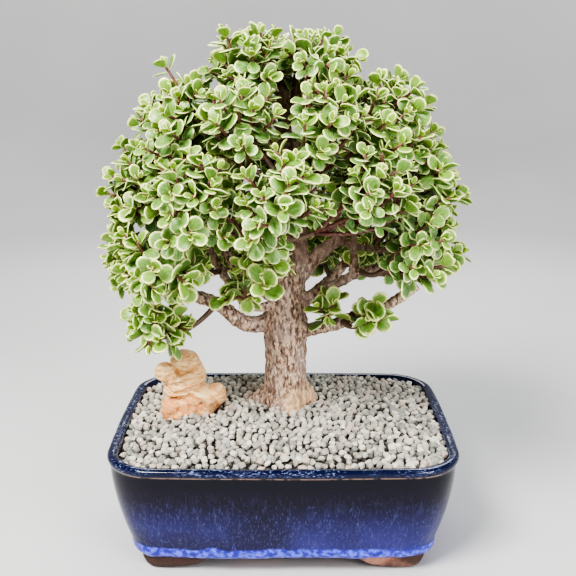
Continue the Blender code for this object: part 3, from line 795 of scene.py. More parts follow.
def cut_chip(number):
    """A coarse ball, squashed, jostled and cut flat on three sides."""
    draw = random.Random(100 + number)
    clear_selection()
    bpy.ops.mesh.primitive_ico_sphere_add(subdivisions=1, radius=0.56)
    chip = bpy.context.object
    bpy.ops.object.mode_set(mode="EDIT")
    bpy.ops.transform.resize(value=(1.0, draw.uniform(0.72, 0.95), draw.uniform(0.52, 0.8)))
    bpy.ops.transform.vertex_random(offset=0.11, seed=number + 1)
    for _ in range(3):
        away = gauss_vector(draw, 1).normalized()
        bpy.ops.mesh.select_all(action="SELECT")
        bpy.ops.mesh.bisect(
            plane_co=away * draw.uniform(0.27, 0.36),
            plane_no=away,
            use_fill=True,
            clear_outer=True,
        )
    bpy.ops.mesh.select_all(action="SELECT")
    bpy.ops.mesh.normals_make_consistent(inside=False)
    bpy.ops.object.mode_set(mode="OBJECT")
    model = read_model(chip)
    bpy.data.objects.remove(chip)
    return model


chips = [cut_chip(number) for number in range(CHIP_MODELS)]
print("faces of each chip", [len(chip["faces"]) for chip in chips])


# %% [markdown]
# The height of the gravel is read from its solid by dropping a line on it. Where the
# line finds the trunk or the stone's seat there is no gravel. The top layer is drawn
# first and close, and the layer under it fills what shows between.

# %% Lay the gravel
CHIP_TRIES = 60000
CHIP_PROUD = 0.0012  # how far a chip's middle may stand over the gravel's solid
gravel_mesh = solids["gravel"].data
gravel_surface = BVHTree.FromPolygons(
    [point.co.copy() for point in gravel_mesh.vertices],
    [tuple(face.vertices) for face in gravel_mesh.polygons],
)
gravel_low, gravel_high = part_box("gravel")


def gravel_top(x, y):
    """The gravel's height at a place, or nothing where something stands in it."""
    hit, normal, _, _ = gravel_surface.ray_cast(Vector((x, y, 0.2)), Vector((0, 0, -1)))
    if hit is None or normal.z < 0.3 or hit.z < NECK_Z + 0.002:
        return None
    return hit.z


def spread_places(draw, spacing):
    """Random places on the gravel, no two nearer than the spacing."""
    cells, found = {}, []
    for _ in range(CHIP_TRIES):
        x = draw.uniform(gravel_low.x, gravel_high.x)
        y = draw.uniform(gravel_low.y, gravel_high.y)
        cell = (int(x // spacing), int(y // spacing))
        around = [(cell[0] + i, cell[1] + j) for i in (-1, 0, 1) for j in (-1, 0, 1)]
        near = [spot for key in around for spot in cells.get(key, ())]
        if any((x - a) ** 2 + (y - b) ** 2 < spacing**2 for a, b in near):
            continue
        cells.setdefault(cell, []).append((x, y))
        found.append((x, y))
    return found


print("gravel height at the front", round(gravel_top(0, gravel_low.y * 0.8), 4))


# %% Turn and place the chips
def lay_chips(name, finish, seed, spacing, depth, sizes):
    """One layer of chips, each turned at random; sizes are least, most and usual."""
    draw = random.Random(seed)
    copies = []
    for x, y in spread_places(draw, spacing):
        top = gravel_top(x, y)
        if top is None:
            continue
        size = draw.triangular(*sizes)
        axis = gauss_vector(draw, 1).normalized()
        turn = np.array(Matrix.Rotation(draw.uniform(0, 2 * math.pi), 3, axis)) * size
        sunk = draw.uniform(0.25, 0.6) * size + depth
        tone = (draw.random(), draw.random(), draw.random(), 1)
        place = (x, y, top + CHIP_PROUD - sunk)
        copies.append((draw.randrange(CHIP_MODELS), turn, place, tone, 0))
    print("chips", len(copies))
    return join_copies(name, chips, copies, [finish], smooth=False)


print("places tried for each layer", CHIP_TRIES)


# %% The gravel's stone
def chip_stone(name, light):
    """Crushed stone: each chip has its own grey, with dust and pits; a light under 1 paints shade
    over it all.
    """
    made, tree, shader, place = start_material(name, roughness=0.88)
    tone_a, tone_b, tone_c = read_tone(tree)
    base = mix_colours(tree, tone_a, (0.300, 0.282, 0.250), (0.800, 0.750, 0.665))
    base = mix_colours(tree, between(tree, tone_b, 0.72, 0.95), base, (0.250, 0.265, 0.240))
    base = mix_colours(tree, between(tree, tone_c, 0.78, 1.0), base, (0.560, 0.450, 0.380))
    dust = patches(tree, place, 950.0, 0.38, 0.68, 4.0)
    base = tint(tree, base, dust, 0.45, (0.640, 0.610, 0.550))
    pits = patches(tree, place, 2300.0, 0.60, 0.72, 2.0)
    base = tint(tree, base, pits, 0.55, (0.120, 0.115, 0.105))
    # Painted shade: a light under 1 mixes the whole chip towards near black.
    base = mix_colours(tree, light, (0.020, 0.018, 0.015), base)
    paint(tree, shader, base)
    grit = noise_value(tree, place, 1500.0, 4.0)
    bump(tree, shader, grit, 0.0004, 0.7)
    return made


gravel_finish = chip_stone("gravel_stone", 0.92)
# The lower layer's stone carries painted shade, so it reads as the dark between the top chips.
shaded_gravel_finish = chip_stone("shaded_gravel_stone", 0.26)

gravel_gap_shade_finish = two_tone(
    "gravel_shade", 0.95, (600.0, 0.35, 0.70, 4.0),
    (0.018, 0.016, 0.014), (0.060, 0.056, 0.048), raised=(0.001, 0.8),
)
print("gravel finishes ready")

# %% Lay two layers over a dark bed of painted shade
top_layer = lay_chips(
    "gravel_top_layer", gravel_finish, seed=11, spacing=0.0044, depth=0.0,
    sizes=(0.0044, 0.0080, 0.0060),
)
under_layer = lay_chips(
    "gravel_under_layer", shaded_gravel_finish, seed=12, spacing=0.0042, depth=0.0030,
    sizes=(0.0042, 0.0070, 0.0055),
)
finish_piece(top_layer, "gravel")
finish_piece(under_layer, "gravel")
# A dark sheet of painted shade, sunk under the chips, fills the gaps between them.
bed = link("gravel_bed", solids["gravel"].data.copy())
merge_doubles(bed)
bpy.ops.object.mode_set(mode="EDIT")
pick_points(bed, lambda at: at.z > gravel_low.z + 0.002)
bpy.ops.transform.translate(value=(0, 0, -0.0035))
bpy.ops.object.mode_set(mode="OBJECT")
give_finish(bed, gravel_gap_shade_finish)
for face in bed.data.polygons:
    face.material_index = 0
finish_piece(bed, "gravel", "gravel")

# %% [markdown]
# ## The stone
# A tan sandstone stands at the back left: two rough blocks below, a stack of thin
# slanting layers over them, and two rounded knobs on top. One displaced ball would
# look like a potato. Here the blocks and layers are roughed out one by one, like
# clay, then a voxel remesh melts them into one skin, and layered noise cuts the
# strata and the pits.

# %% Rough out the stone
rock_low, rock_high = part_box("rock")
rock_size = rock_high - rock_low


def rock_lump(at, size, tilt=0.0, turn=0.0, blocky=False):
    """A ball or a softened block, placed and sized in shares of the stone's box."""
    clear_selection()
    if blocky:
        bpy.ops.mesh.primitive_cube_add(size=1)
    else:
        bpy.ops.mesh.primitive_ico_sphere_add(subdivisions=3, radius=0.5)
    lump = bpy.context.object
    bpy.ops.object.mode_set(mode="EDIT")
    bpy.ops.transform.resize(value=[share * side for share, side in zip(size, rock_size)])
    if blocky:
        bpy.ops.mesh.bevel(offset=0.0035, segments=3)
    for degrees, axis in ((tilt, "Y"), (turn, "Z")):
        bpy.ops.transform.rotate(
            value=math.radians(degrees), orient_axis=axis, center_override=(0, 0, 0)
        )
    place = [low + share * side for low, share, side in zip(rock_low, at, rock_size)]
    bpy.ops.transform.translate(value=place)
    bpy.ops.object.mode_set(mode="OBJECT")
    return lump


print("stone", rounded([rock_size]))

# %% Pile up the blocks, knobs and layers
lumps = [
    rock_lump((0.33, 0.46, 0.17), (0.40, 0.84, 0.30), tilt=12, blocky=True),
    rock_lump((0.24, 0.42, 0.15), (0.34, 0.66, 0.28)),
    rock_lump((0.70, 0.46, 0.25), (0.34, 0.74, 0.32), tilt=-16, turn=14, blocky=True),
    rock_lump((0.84, 0.50, 0.32), (0.28, 0.60, 0.30), tilt=-24),
    rock_lump((0.66, 0.36, 0.33), (0.26, 0.44, 0.24), tilt=-10),
    rock_lump((0.50, 0.50, 0.30), (0.50, 0.62, 0.34)),
    rock_lump((0.15, 0.46, 0.68), (0.30, 0.56, 0.26), tilt=-20),
    rock_lump((0.42, 0.52, 0.83), (0.40, 0.62, 0.34)),
    rock_lump((0.54, 0.54, 0.72), (0.26, 0.56, 0.34), tilt=20),
    rock_lump((0.62, 0.60, 0.60), (0.16, 0.40, 0.24)),
]
LAYERS = 7
for number in range(LAYERS):
    share = number / (LAYERS - 1)
    lumps.append(
        rock_lump(
            (0.36 + 0.04 * share, 0.46 + 0.03 * math.sin(number * 2.1), 0.40 + 0.28 * share),
            (0.50 + 0.05 * math.sin(number * 2.7), 0.72 - 0.05 * share, 0.062),
            tilt=6 + 20 * share,
            turn=9 * math.sin(number * 1.7),
        )
    )
rock = join_pieces("sandstone", lumps)
apply_modifier(rock, "REMESH", mode="VOXEL", voxel_size=0.0009)
apply_modifier(rock, "SMOOTH", factor=0.5, iterations=2)
print("lumps", len(lumps), "points", len(rock.data.vertices))


# %% Carve the stone
def carve_rock(at):
    """How far the stone's skin moves out at a point: strata, pits and grain."""
    lean = at.z * 950 + at.x * 330 + noise.noise(at * 60) * 2.2
    strata = abs(math.sin(lean)) ** 0.6 - 0.6
    rough = noise.fractal(at * 170, 1.0, 2.0, 4)
    pit = max(0.0, noise.noise(at * 260 + Vector((5, 1, 3))) - 0.32)
    up = (at.z - rock_low.z) / rock_size.z
    layered = min(1.0, max(0.0, (up - 0.38) / 0.12))
    knob = min(1.0, max(0.0, (up - 0.70) / 0.1))
    craggy = noise.fractal(at * 75 + Vector((2, 7, 4)), 1.0, 2.0, 3) * (1 - layered)
    strata *= (0.25 + 0.75 * layered) * (1 - 0.7 * knob)
    return strata * 0.0010 + rough * 0.0009 + craggy * 0.0024 - pit * 0.0045


push_points(rock, carve_rock)
take(rock)
bpy.ops.object.shade_smooth()
print("carved stone", rounded([rock.dimensions]))

# %% The sandstone's finish
sandstone, tree, shader, place = start_material("sandstone", roughness=0.85)
split = shader_node(tree, "SeparateXYZ", {"Vector": place})
slant = {"Vector": place, "Rotation": (0, math.radians(20), 0), "Scale": (0.25, 0.25, 1.6)}
banded = shader_node(tree, "Mapping", slant).outputs["Vector"]
bands = patches(tree, banded, 330.0, 0.36, 0.64, 3.0)
colour = mix_colours(tree, bands, (0.760, 0.390, 0.155), (0.980, 0.730, 0.400))
heights = [rock_low.z + share * rock_size.z for share in (0.45, 0.2, 0.8)]
blush_from, blush_full, crown_from = heights
low_part = between(tree, split.outputs["Z"], blush_from, blush_full)
pinkish = patches(tree, place, 75.0, 0.38, 0.62, 3.0)
blush = times(tree, low_part, math_node(tree, "MULTIPLY_ADD", pinkish, 0.5, 0.4))
colour = mix_colours(tree, blush, colour, (0.620, 0.255, 0.092))
crown_blush = between(tree, split.outputs["Z"], crown_from, rock_high.z)
crown_blush = times(tree, pinkish, crown_blush)
colour = tint(tree, colour, crown_blush, 0.55, (0.640, 0.330, 0.200))
pale = patches(tree, place, 420.0, 0.50, 0.68, 4.0)
colour = tint(tree, colour, pale, 0.4, (0.960, 0.780, 0.500))
dark_pits = patches(tree, banded, 560.0, 0.60, 0.70, 4.0)
colour = tint(tree, colour, dark_pits, 0.75, (0.240, 0.110, 0.045))
paint(tree, shader, colour)
grain = noise_value(tree, place, 1300.0, 5.0)
bump(tree, shader, grain, 0.0004, 0.7)
give_finish(rock, sandstone)
finish_piece(rock, "rock", "rock")

# %% [markdown]
# ## Trunk and branches
# The trunk is old and stocky, with furrowed tan bark, and the branches are jointed:
# this plant thickens at each pair of old leaf scars. The solids are plain tubes that
# stop a hair apart. A copy of all of them is grown until they touch, melted into one
# skin by a voxel remesh, and then the bark is carved by noise: long furrows on the
# trunk, rings on the branches. The rings are spheres round the fork, because every
# branch leaves from there and so crosses them squarely.

# %% Join the wood
WOOD = sorted(name for name in solids if name == "trunk" or name.startswith(("branch_", "twig_")))
wood_copies = [link(f"wood_{name}", solids[name].data.copy()) for name in WOOD]
for part in wood_copies:
    part.data.materials.clear()
wood = join_pieces("trunk_and_branches", wood_copies)
merge_doubles(wood)
apply_modifier(wood, "DISPLACE", strength=0.0005, mid_level=0.0)
apply_modifier(wood, "REMESH", mode="VOXEL", voxel_size=0.0010)
apply_modifier(wood, "SMOOTH", factor=0.5, iterations=3)
gravel_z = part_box("gravel")[1].z
FORK = Vector((0.002, 0.021, 0.160))
CREASE_Z = 0.128
RING_SPACING = 0.0085
print("wood points", len(wood.data.vertices))


# %% Carve the bark
def carve_bark(at):
    """How far the bark moves out at a point."""
    from_axis = math.hypot(at.x - FORK.x, at.y - FORK.y)
    branchy = min(1.0, max(0.0, (from_axis - 0.017) / 0.008))
    if at.z > FORK.z + 0.045:
        branchy = 1.0
    warp = Vector((noise.noise(at * 40), noise.noise(at * 40 + Vector((9, 4, 1))), 0)) * 0.004
    furrow_at = Vector(((at.x + warp.x) * 230, (at.y + warp.y) * 230, at.z * 46))
    furrows = noise.fractal(furrow_at, 0.9, 2.1, 4) * 0.0013
    flake_at = Vector((at.x * 420, at.y * 420, at.z * 210))
    flakes_out = noise.fractal(flake_at, 1.0, 2.0, 3) * 0.0006
    from_crease = at.z - CREASE_Z + noise.noise(at * 35) * 0.004
    crease = -0.0009 * math.exp(-((from_crease / 0.0012) ** 2))
    reach = (at - FORK).length + noise.noise(at * 55) * 0.003
    ring = max(0.0, math.cos(2 * math.pi * reach / RING_SPACING)) ** 6
    knob = noise.noise(at * 75 + Vector((3, 8, 2)))
    jointed = ring * 0.0006 + knob * 0.0007 + noise.fractal(at * 420, 1.0, 2.0, 3) * 0.0004
    return (1 - branchy) * (furrows + flakes_out + crease) + branchy * jointed


push_points(wood, carve_bark)
take(wood)
bpy.ops.object.shade_smooth()
print("carved wood", rounded([wood.dimensions]))

# %% The bark's finish
bark, tree, shader, place = start_material("bark", roughness=0.8)
split = shader_node(tree, "SeparateXYZ", {"Vector": place})
fibres = patches(tree, stretched(tree, place, (1, 1, 0.38)), 460.0, 0.38, 0.62, 5.0)
colour = mix_colours(tree, fibres, (0.170, 0.090, 0.058), (0.700, 0.500, 0.370))
greyed = patches(tree, stretched(tree, place, (1, 1, 0.5)), 75.0, 0.42, 0.60, 3.0)
colour = tint(tree, colour, greyed, 0.55, (0.520, 0.385, 0.350))
flakes = patches(tree, stretched(tree, place, (1, 1, 0.45)), 640.0, 0.55, 0.66, 4.0)
colour = tint(tree, colour, flakes, 0.85, (0.900, 0.760, 0.600))
cracks = patches(tree, stretched(tree, place, (1, 1, 0.4)), 330.0, 0.56, 0.68, 5.0)
colour = tint(tree, colour, cracks, 0.85, (0.070, 0.038, 0.024))
near_ground = between(tree, split.outputs["Z"], gravel_z + 0.020, gravel_z)
rooty = times(tree, near_ground, between(tree, split.outputs["X"], -0.006, 0.008))
colour = tint(tree, colour, rooty, 0.6, (0.780, 0.500, 0.260))
shaded = between(tree, split.outputs["Z"], 0.188, 0.225)
colour = tint(tree, colour, shaded, 0.7, (0.130, 0.070, 0.042))
paint(tree, shader, colour)
rough_bark = noise_value(tree, stretched(tree, place, (1, 1, 0.4)), 900.0, 5.0)
bump(tree, shader, rough_bark, 0.0007, 0.8)
give_finish(wood, bark)
finish_piece(wood, "bark", *WOOD)

# %% [markdown]
# ## One leaf
# The leaf is fleshy and nearly round, narrow where it joins the stem, with a soft
# edge and a slight hollow along its middle. A flat card would vanish seen from its
# edge. So it starts as a ball of eight by six faces laid along Y and flattened, and
# its rings are then drawn in towards the stem and cupped. Its face map is taken
# while it is still a ball: every point then knows how near it is to the leaf's edge,
# which is where the cream border goes.

# %% Model the leaves
LEAF_RINGS = (0.0, 0.067, 0.25, 0.5, 0.75, 0.933, 1.0)


def model_leaf(width, widths, cup, curl, thick=0.115):
    """A leaf one unit long from its stem end at the origin along Y, facing up."""
    clear_selection()
    bpy.ops.mesh.primitive_uv_sphere_add(segments=8, ring_count=6, radius=0.5)
    leaf = bpy.context.object
    bpy.ops.object.mode_set(mode="EDIT")
    bpy.ops.transform.rotate(value=math.pi / 2, orient_axis="X", center_override=(0, 0, 0))
    bpy.ops.transform.translate(value=(0, 0.5, 0))
    bpy.ops.object.mode_set(mode="OBJECT")
    while leaf.data.uv_layers:
        leaf.data.uv_layers.remove(leaf.data.uv_layers[0])
    face_map = leaf.data.uv_layers.new(name="leaf_face")
    for loop in leaf.data.loops:
        at = leaf.data.vertices[loop.vertex_index].co
        face_map.data[loop.index].uv = (at.x + 0.5, at.y)
    bpy.ops.object.mode_set(mode="EDIT")
    bpy.ops.mesh.select_all(action="SELECT")
    bpy.ops.transform.resize(value=(width, 1, thick), center_override=(0, 0, 0))
    for ring, wide in zip(LEAF_RINGS, widths):
        pick_points(leaf, lambda at: abs(at.y - ring) < 0.02)
        bpy.ops.transform.resize(value=(wide, 1, 1), center_override=(0, ring, 0))
        bpy.ops.transform.translate(value=(0, 0, curl * (ring - 0.35) ** 2))
        for side in (-1, 1):
            edge = 0.27 * width * wide
            pick_points(leaf, lambda at: abs(at.y - ring) < 0.02 and side * at.x > edge)
            bpy.ops.transform.translate(value=(0, 0, cup * wide))
    bpy.ops.object.mode_set(mode="OBJECT")
    model = read_model(leaf, "leaf_face")
    bpy.data.objects.remove(leaf)
    return model


print("rings along a leaf", len(LEAF_RINGS))

# %% Four grown leaves and a young one
OBOVATE = (1, 0.42, 0.74, 1.0, 1.14, 1.22, 1)
leaves = [
    model_leaf(0.76, OBOVATE, 0.035, -0.10),
    model_leaf(0.84, OBOVATE, 0.055, 0.10),
    model_leaf(0.70, (1, 0.5, 0.85, 1.0, 1.08, 1.1, 1), 0.075, -0.16),
    model_leaf(0.80, OBOVATE, 0.015, -0.26),
]
YOUNG_LEAF = len(leaves)
leaves.append(model_leaf(0.66, (1, 0.7, 0.95, 1.0, 1.0, 1.0, 1), 0.11, 0.22, thick=0.15))
print("faces of each leaf", [len(leaf["faces"]) for leaf in leaves])

# %% [markdown]
# ### The leaf's colours
# The leaf is green in the middle, feathered with grey-green, and has a cream border
# of uneven width. Young leaves are yellower with a broad border, old ones darker.
# The border is drawn from the face map, and the tone attribute shifts it from leaf
# to leaf. The skin is satin: a broad soft highlight and no mirror.

# %% The leaf's finish
leaf_finish, tree, shader, place = start_material("leaf", roughness=0.42)
own, youth, other = read_tone(tree)
face = shader_node(tree, "UVMap", uv_map="leaf_face").outputs["UV"]
middle = {0: face, 1: (0.5, 0.5, 0.0)}
centred = shader_node(tree, "VectorMath", middle, operation="SUBTRACT").outputs["Vector"]
from_middle = shader_node(tree, "VectorMath", {0: centred}, operation="LENGTH")
edge_share = times(tree, from_middle.outputs["Value"], 2.0)
own_way = {"X": times(tree, own, 37.0), "Y": times(tree, other, 23.0)}
shift = shader_node(tree, "CombineXYZ", own_way).outputs["Vector"]
moved = shader_node(tree, "VectorMath", {0: face, 1: shift}, operation="ADD")
own_face = moved.outputs["Vector"]
ragged = noise_value(tree, own_face, 4.0, 3.0)
border_at = math_node(tree, "MULTIPLY_ADD", ragged, 0.34, edge_share)
border_at = math_node(tree, "MULTIPLY_ADD", youth, 0.13, border_at)
border_at = math_node(tree, "MULTIPLY_ADD", own, 0.10, border_at)
border = between(tree, border_at, 1.045, 1.125)
feather = patches(tree, stretched(tree, own_face, (7.0, 1.6, 1.0)), 1.6, 0.40, 0.62, 4.0)
green = mix_colours(tree, other, (0.060, 0.170, 0.020), (0.125, 0.265, 0.055))
green = tint(tree, green, feather, 0.60, (0.280, 0.440, 0.180))
green = tint(tree, green, youth, 0.80, (0.300, 0.480, 0.050))
cream = mix_colours(tree, youth, (0.800, 0.860, 0.430), (0.880, 0.900, 0.310))
near_edge = times(tree, between(tree, border_at, 0.78, 1.02), 0.35)
green = mix_colours(tree, near_edge, green, (0.340, 0.480, 0.130))
paint(tree, shader, mix_colours(tree, border, green, cream))
skin = noise_value(tree, place, 1600.0, 2.0)
vary_roughness(tree, shader, ragged, 0.28, 0.46, low=0.3, high=0.7)
bump(tree, shader, skin, 0.00015, 0.35)
print("leaf nodes", len(tree.nodes))

# %% The stem's finish
stem_finish, tree, shader, place = start_material("young_stem", roughness=0.5)
own, youth, other = read_tone(tree)
young = mix_colours(tree, own, (0.170, 0.030, 0.045), (0.230, 0.075, 0.035))
old = mix_colours(tree, own, (0.120, 0.070, 0.045), (0.230, 0.150, 0.110))
colour = mix_colours(tree, youth, old, young)
scars = patches(tree, place, 480.0, 0.52, 0.66, 3.0)
colour = tint(tree, colour, scars, 0.5, (0.340, 0.230, 0.180))
paint(tree, shader, colour)
bump(tree, shader, scars, 0.0003, 0.5)
print("stem nodes", len(tree.nodes))

# %% [markdown]
# ## Shoots
# Leaves come in opposite pairs, each pair turned a quarter from the last, and crowd
# into a rosette at the tip. A shoot here is a bent stem from the nearest branch to
# the crown's surface, with its pairs set out from the tip backwards: small, upright
# and yellow at the tip, then larger, flatter and greener. Each shoot draws its own
# turn, spacing and size, so no two look alike.

# %% A shoot's sizes and its stem
LEAF_LENGTH = 0.0132
PAIR_FROM_TIP = (0.0004, 0.0030, 0.0074, 0.0130, 0.0192, 0.0260, 0.0335, 0.0420)
PAIR_SIZE = (0.50, 0.86, 1.0, 1.02, 0.98, 0.92, 0.88, 0.85)
PAIR_LIFT = (66, 46, 30, 20, 12, 6, 6, 6)
PAIR_YOUTH = (1.0, 0.62, 0.30, 0.12, 0.04, 0.0, 0.0, 0.0)
BARE_FROM = 0.85  # this share of a stem's length back from the tip, it has no leaves
UP = Vector((0, 0, 1))


def bezier(start, bend, end, share):
    """The point at a share of the way along a bent line."""
    return start * (1 - share) ** 2 + bend * (2 * share * (1 - share)) + end * share**2


STEM_SIDES = 6


def stem_model(route, radii, sides=STEM_SIDES):
    """A tube along a route, closed at both ends, as points and faces."""
    points, faces = [], []
    side = (route[1] - route[0]).orthogonal().normalized()
    for number, (at, radius) in enumerate(zip(route, radii)):
        ahead = (route[min(number + 1, len(route) - 1)] - route[max(number - 1, 0)]).normalized()
        side = (side - ahead * side.dot(ahead)).normalized()
        across = ahead.cross(side)
        for step in range(sides):
            angle = 2 * math.pi * step / sides
            points.append(at + (side * math.cos(angle) + across * math.sin(angle)) * radius)
        if number:
            first = (number - 1) * sides
            for step in range(sides):
                near, far = first + step, first + (step + 1) % sides
                faces.append((near, far, far + sides, near + sides))
    faces.append(tuple(reversed(range(sides))))
    faces.append(tuple(range(len(points) - sides, len(points))))
    return points, faces


print("a stem has", STEM_SIDES, "sides")


# %% Set out the pairs along it
def leaf_turn(along, facing):
    """The turn that lays a leaf along a direction with its face towards another."""
    side = along.cross(facing).normalized()
    return np.array((side, along, side.cross(along))).T


def grow_shoot(draw, root, tip, heading, pairs, size, stem_radius):
    """The leaf copies of one shoot, and its stem's route and radii."""
    length = (tip - root).length
    bend = tip - heading * min(0.6 * length, 0.03)
    route = [bezier(root, bend, tip, step / 7) for step in range(8)]
    radii = [stem_radius * (1.25 - 0.6 * step / 7) for step in range(8)]
    side = heading.orthogonal().normalized()
    across = heading.cross(side)
    start = draw.uniform(0, math.pi)
    copies = []
    for pair in range(pairs):
        back = PAIR_FROM_TIP[pair] * size * draw.uniform(0.9, 1.15)
        if pair > 1 and back > BARE_FROM * length:
            break
        node_at = bezier(root, bend, tip, max(0.0, 1 - back / max(length, 0.005)))
        angle = start + pair * math.pi / 2 + draw.gauss(0, 0.12)
        for half in range(2):
            around = angle + half * math.pi + draw.gauss(0, 0.1)
            out = side * math.cos(around) + across * math.sin(around)
            lift = math.radians(PAIR_LIFT[pair] + draw.gauss(0, 9))
            along = (out * math.cos(lift) + heading * math.sin(lift)).normalized()
            along = (along + UP * 0.10 - UP * draw.uniform(0, 0.12)).normalized()
            facing = (heading + UP * 0.35 + gauss_vector(draw, 0.2)).normalized()
            leaf_size = LEAF_LENGTH * size * PAIR_SIZE[pair] * draw.uniform(0.84, 1.14)
            model = YOUNG_LEAF if pair == 0 else draw.randrange(YOUNG_LEAF)
            tone = (draw.random(), PAIR_YOUTH[pair] * draw.uniform(0.6, 1.0), draw.random(), 1)
            turn = leaf_turn(along, facing) * leaf_size
            copies.append((model, turn, node_at + out * stem_radius * 0.6, tone, 0))
    return copies, route, radii


print("a shoot's pairs stand", PAIR_FROM_TIP, "back from its tip")


# %% [markdown]
# ## The crown
# The crown's solids are round pads that together have the tree's outline. Shoots are
# spread over the outside of each pad, a leaf's length under its surface, so that the
# leaf tips make the outline. Places on the flat cuts between pads are passed over.
# Under the crown only a few shoots grow, and the bare twigs show.

# %% Read the pads
PADS = sorted(name for name in solids if name.startswith("foliage_"))
PLACES_PER_AREA = 60000  # in a square metre
SHOOT_SPACING = 0.0148
CUT_FACE = 0.0012  # a place this near to another pad is on the cut between them


def triangles_of(name):
    """The corners of a solid's triangles."""
    mesh = solids[name].data
    mesh.calc_loop_triangles()
    points = np.array([point.co for point in mesh.vertices], float)
    return points[np.array([part.vertices for part in mesh.loop_triangles])]


pad_triangles = {name: triangles_of(name) for name in PADS}
print("pads", len(PADS), "triangles", sum(map(len, pad_triangles.values())))


# %% Draw places on the outside of a pad
def other_pads(name):
    """A searchable surface of all the other pads."""
    corners = np.concatenate([pad_triangles[other] for other in PADS if other != name])
    faces = [(3 * n, 3 * n + 1, 3 * n + 2) for n in range(len(corners))]
    return BVHTree.FromPolygons([Vector(p) for p in corners.reshape(-1, 3)], faces)


def outer_places(name, draw):
    """Random places on the outside of a pad, each with its outward direction."""
    corners = pad_triangles[name]
    cross = np.cross(corners[:, 1] - corners[:, 0], corners[:, 2] - corners[:, 0])
    areas = np.linalg.norm(cross, axis=1) / 2
    others = other_pads(name)
    found = []
    tries = int(areas.sum() * PLACES_PER_AREA)
    for number in draw.choices(range(len(areas)), weights=areas.tolist(), k=tries):
        a, b = sorted((draw.random(), draw.random()))
        first, second, third = corners[number]
        at = Vector(first * a + second * (b - a) + third * (1 - b))
        outward = Vector(cross[number]).normalized()
        if others.find_nearest(at, CUT_FACE)[0] is None:
            found.append((at, outward))
    return found


def spaced(places, taken):
    """Those places that keep their distance from the ones already taken."""
    chosen = []
    for at, outward in places:
        if all((at - other).length > SHOOT_SPACING for other in taken):
            taken.append(at)
            chosen.append((at, outward))
    return chosen


branch_points = [
    point.co for name in WOOD if name != "trunk" for point in solids[name].data.vertices
]
wood_tree = KDTree(len(branch_points))
for number, at in enumerate(branch_points):
    wood_tree.insert(at, number)
wood_tree.balance()
print("branch points", len(branch_points))

# %% [markdown]
# A few single sprigs are placed one by one, because they give the crown its outline and
# dress the bare branches. The rest is drawn. The upper pads stand in from the ring
# under them, and shoots of their own fill that shoulder. Inside each pad one bare
# twig comes from the nearest branch, and the pad's shoots start along it.

# %% Single sprigs, shoulders and twigs
# Where the tip is, in shares of the whole tree's box, then heading, size and pairs.
SPRIGS = {
    "foliage_crown_03": [
        ((0.36, 0.40, 0.985), (-0.25, -0.1, 1), 1.0, 4),
        ((0.475, 0.42, 0.985), (0.1, 0, 1), 0.9, 4),
    ],
    "foliage_crown_04": [((0.645, 0.42, 0.955), (0.35, 0, 1), 0.85, 3)],
    "foliage_upper_05": [((0.205, 0.42, 0.93), (-0.6, 0, 0.8), 0.9, 3)],
    "foliage_upper_08": [
        ((0.865, 0.42, 0.865), (0.8, 0, 0.6), 0.9, 3),
        ((0.79, 0.45, 0.912), (0.6, -0.1, 0.8), 0.95, 4),
        ((0.83, 0.38, 0.893), (0.7, -0.2, 0.6), 0.9, 4),
    ],
    "foliage_upper_01": [((0.82, 0.53, 0.898), (0.7, 0.1, 0.7), 0.95, 4)],
    "foliage_middle_06": [((0.04, 0.42, 0.70), (-1, -0.1, 0.3), 0.9, 3)],
    "foliage_middle_10": [((0.965, 0.42, 0.69), (1, -0.1, 0.3), 0.9, 3)],
    "foliage_skirt_08": [((0.06, 0.42, 0.55), (-1, -0.2, 0.1), 0.95, 2)],
    "foliage_hanging_left": [((0.139, 0.40, 0.405), (0, -0.2, -1), 1.1, 2)],
    "foliage_front": [((0.452, 0.23, 0.553), (0.1, -0.9, 0.35), 1.45, 3)],
    "foliage_low_left": [((0.352, 0.303, 0.513), (-0.5, -0.8, 0.0), 1.3, 2)],
    "foliage_low_right": [((0.632, 0.40, 0.489), (0.3, -0.6, 0.7), 1.25, 2)],
}
SPRIG_STEM = 0.0014
SHOULDER_LOW, SHOULDER_HIGH = 0.295, 0.326
SHOULDER_REACH = (0.114, 0.098)
SHOULDER_TRIES = 60
TWIG_STEPS = 9
TWIG_RADII = [0.0023 - 0.0009 * step / TWIG_STEPS for step in range(TWIG_STEPS + 1)]
FIRST_SHOOT_STEP = 4


def shoulder_places(name, draw):
    """Places that fill the hollow between an upper pad and the wider ring under it."""
    low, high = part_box(name)
    middle = math.atan2(low.y + high.y, low.x + high.x)
    found = []
    for _ in range(SHOULDER_TRIES):
        angle = middle + draw.uniform(-0.42, 0.42)
        rise = draw.random()
        z = SHOULDER_LOW + (SHOULDER_HIGH - SHOULDER_LOW) * rise
        reach = 1.04 - 0.14 * rise
        x = SHOULDER_REACH[0] * reach * math.cos(angle)
        y = SHOULDER_REACH[1] * reach * math.sin(angle)
        outward = Vector((math.cos(angle), math.sin(angle), 0.35)).normalized()
        found.append((Vector((x, y, z)), outward))
    return found


def pad_twig(name):
    """A twig from the nearest branch to the middle of a pad, as points along it."""
    low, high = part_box(name)
    middle = (low + high) / 2
    inner = Vector((middle.x * 0.86, middle.y * 0.86, middle.z - 0.008))
    start = wood_tree.find(inner + (FORK - inner) * 0.25)[0]
    bend = (start + inner) / 2 + Vector((0, 0, -0.006))
    return [bezier(start, bend, inner, step / TWIG_STEPS) for step in range(TWIG_STEPS + 1)]


print("sprigs placed by hand", sum(map(len, SPRIGS.values())))


# %% Where no shoots grow
LOW_CROWN = 0.25  # under this height the leaves grow larger
DOWNWARD = -0.55  # places that face down more than this get few shoots
GAP_X, GAP_LEVEL, GAP_FRONT = (0.006, 0.078), (0.170, 0.236), 0.03
RIGHT_SKIRT_X, RIGHT_SKIRT_LEVEL = 0.06, 0.199


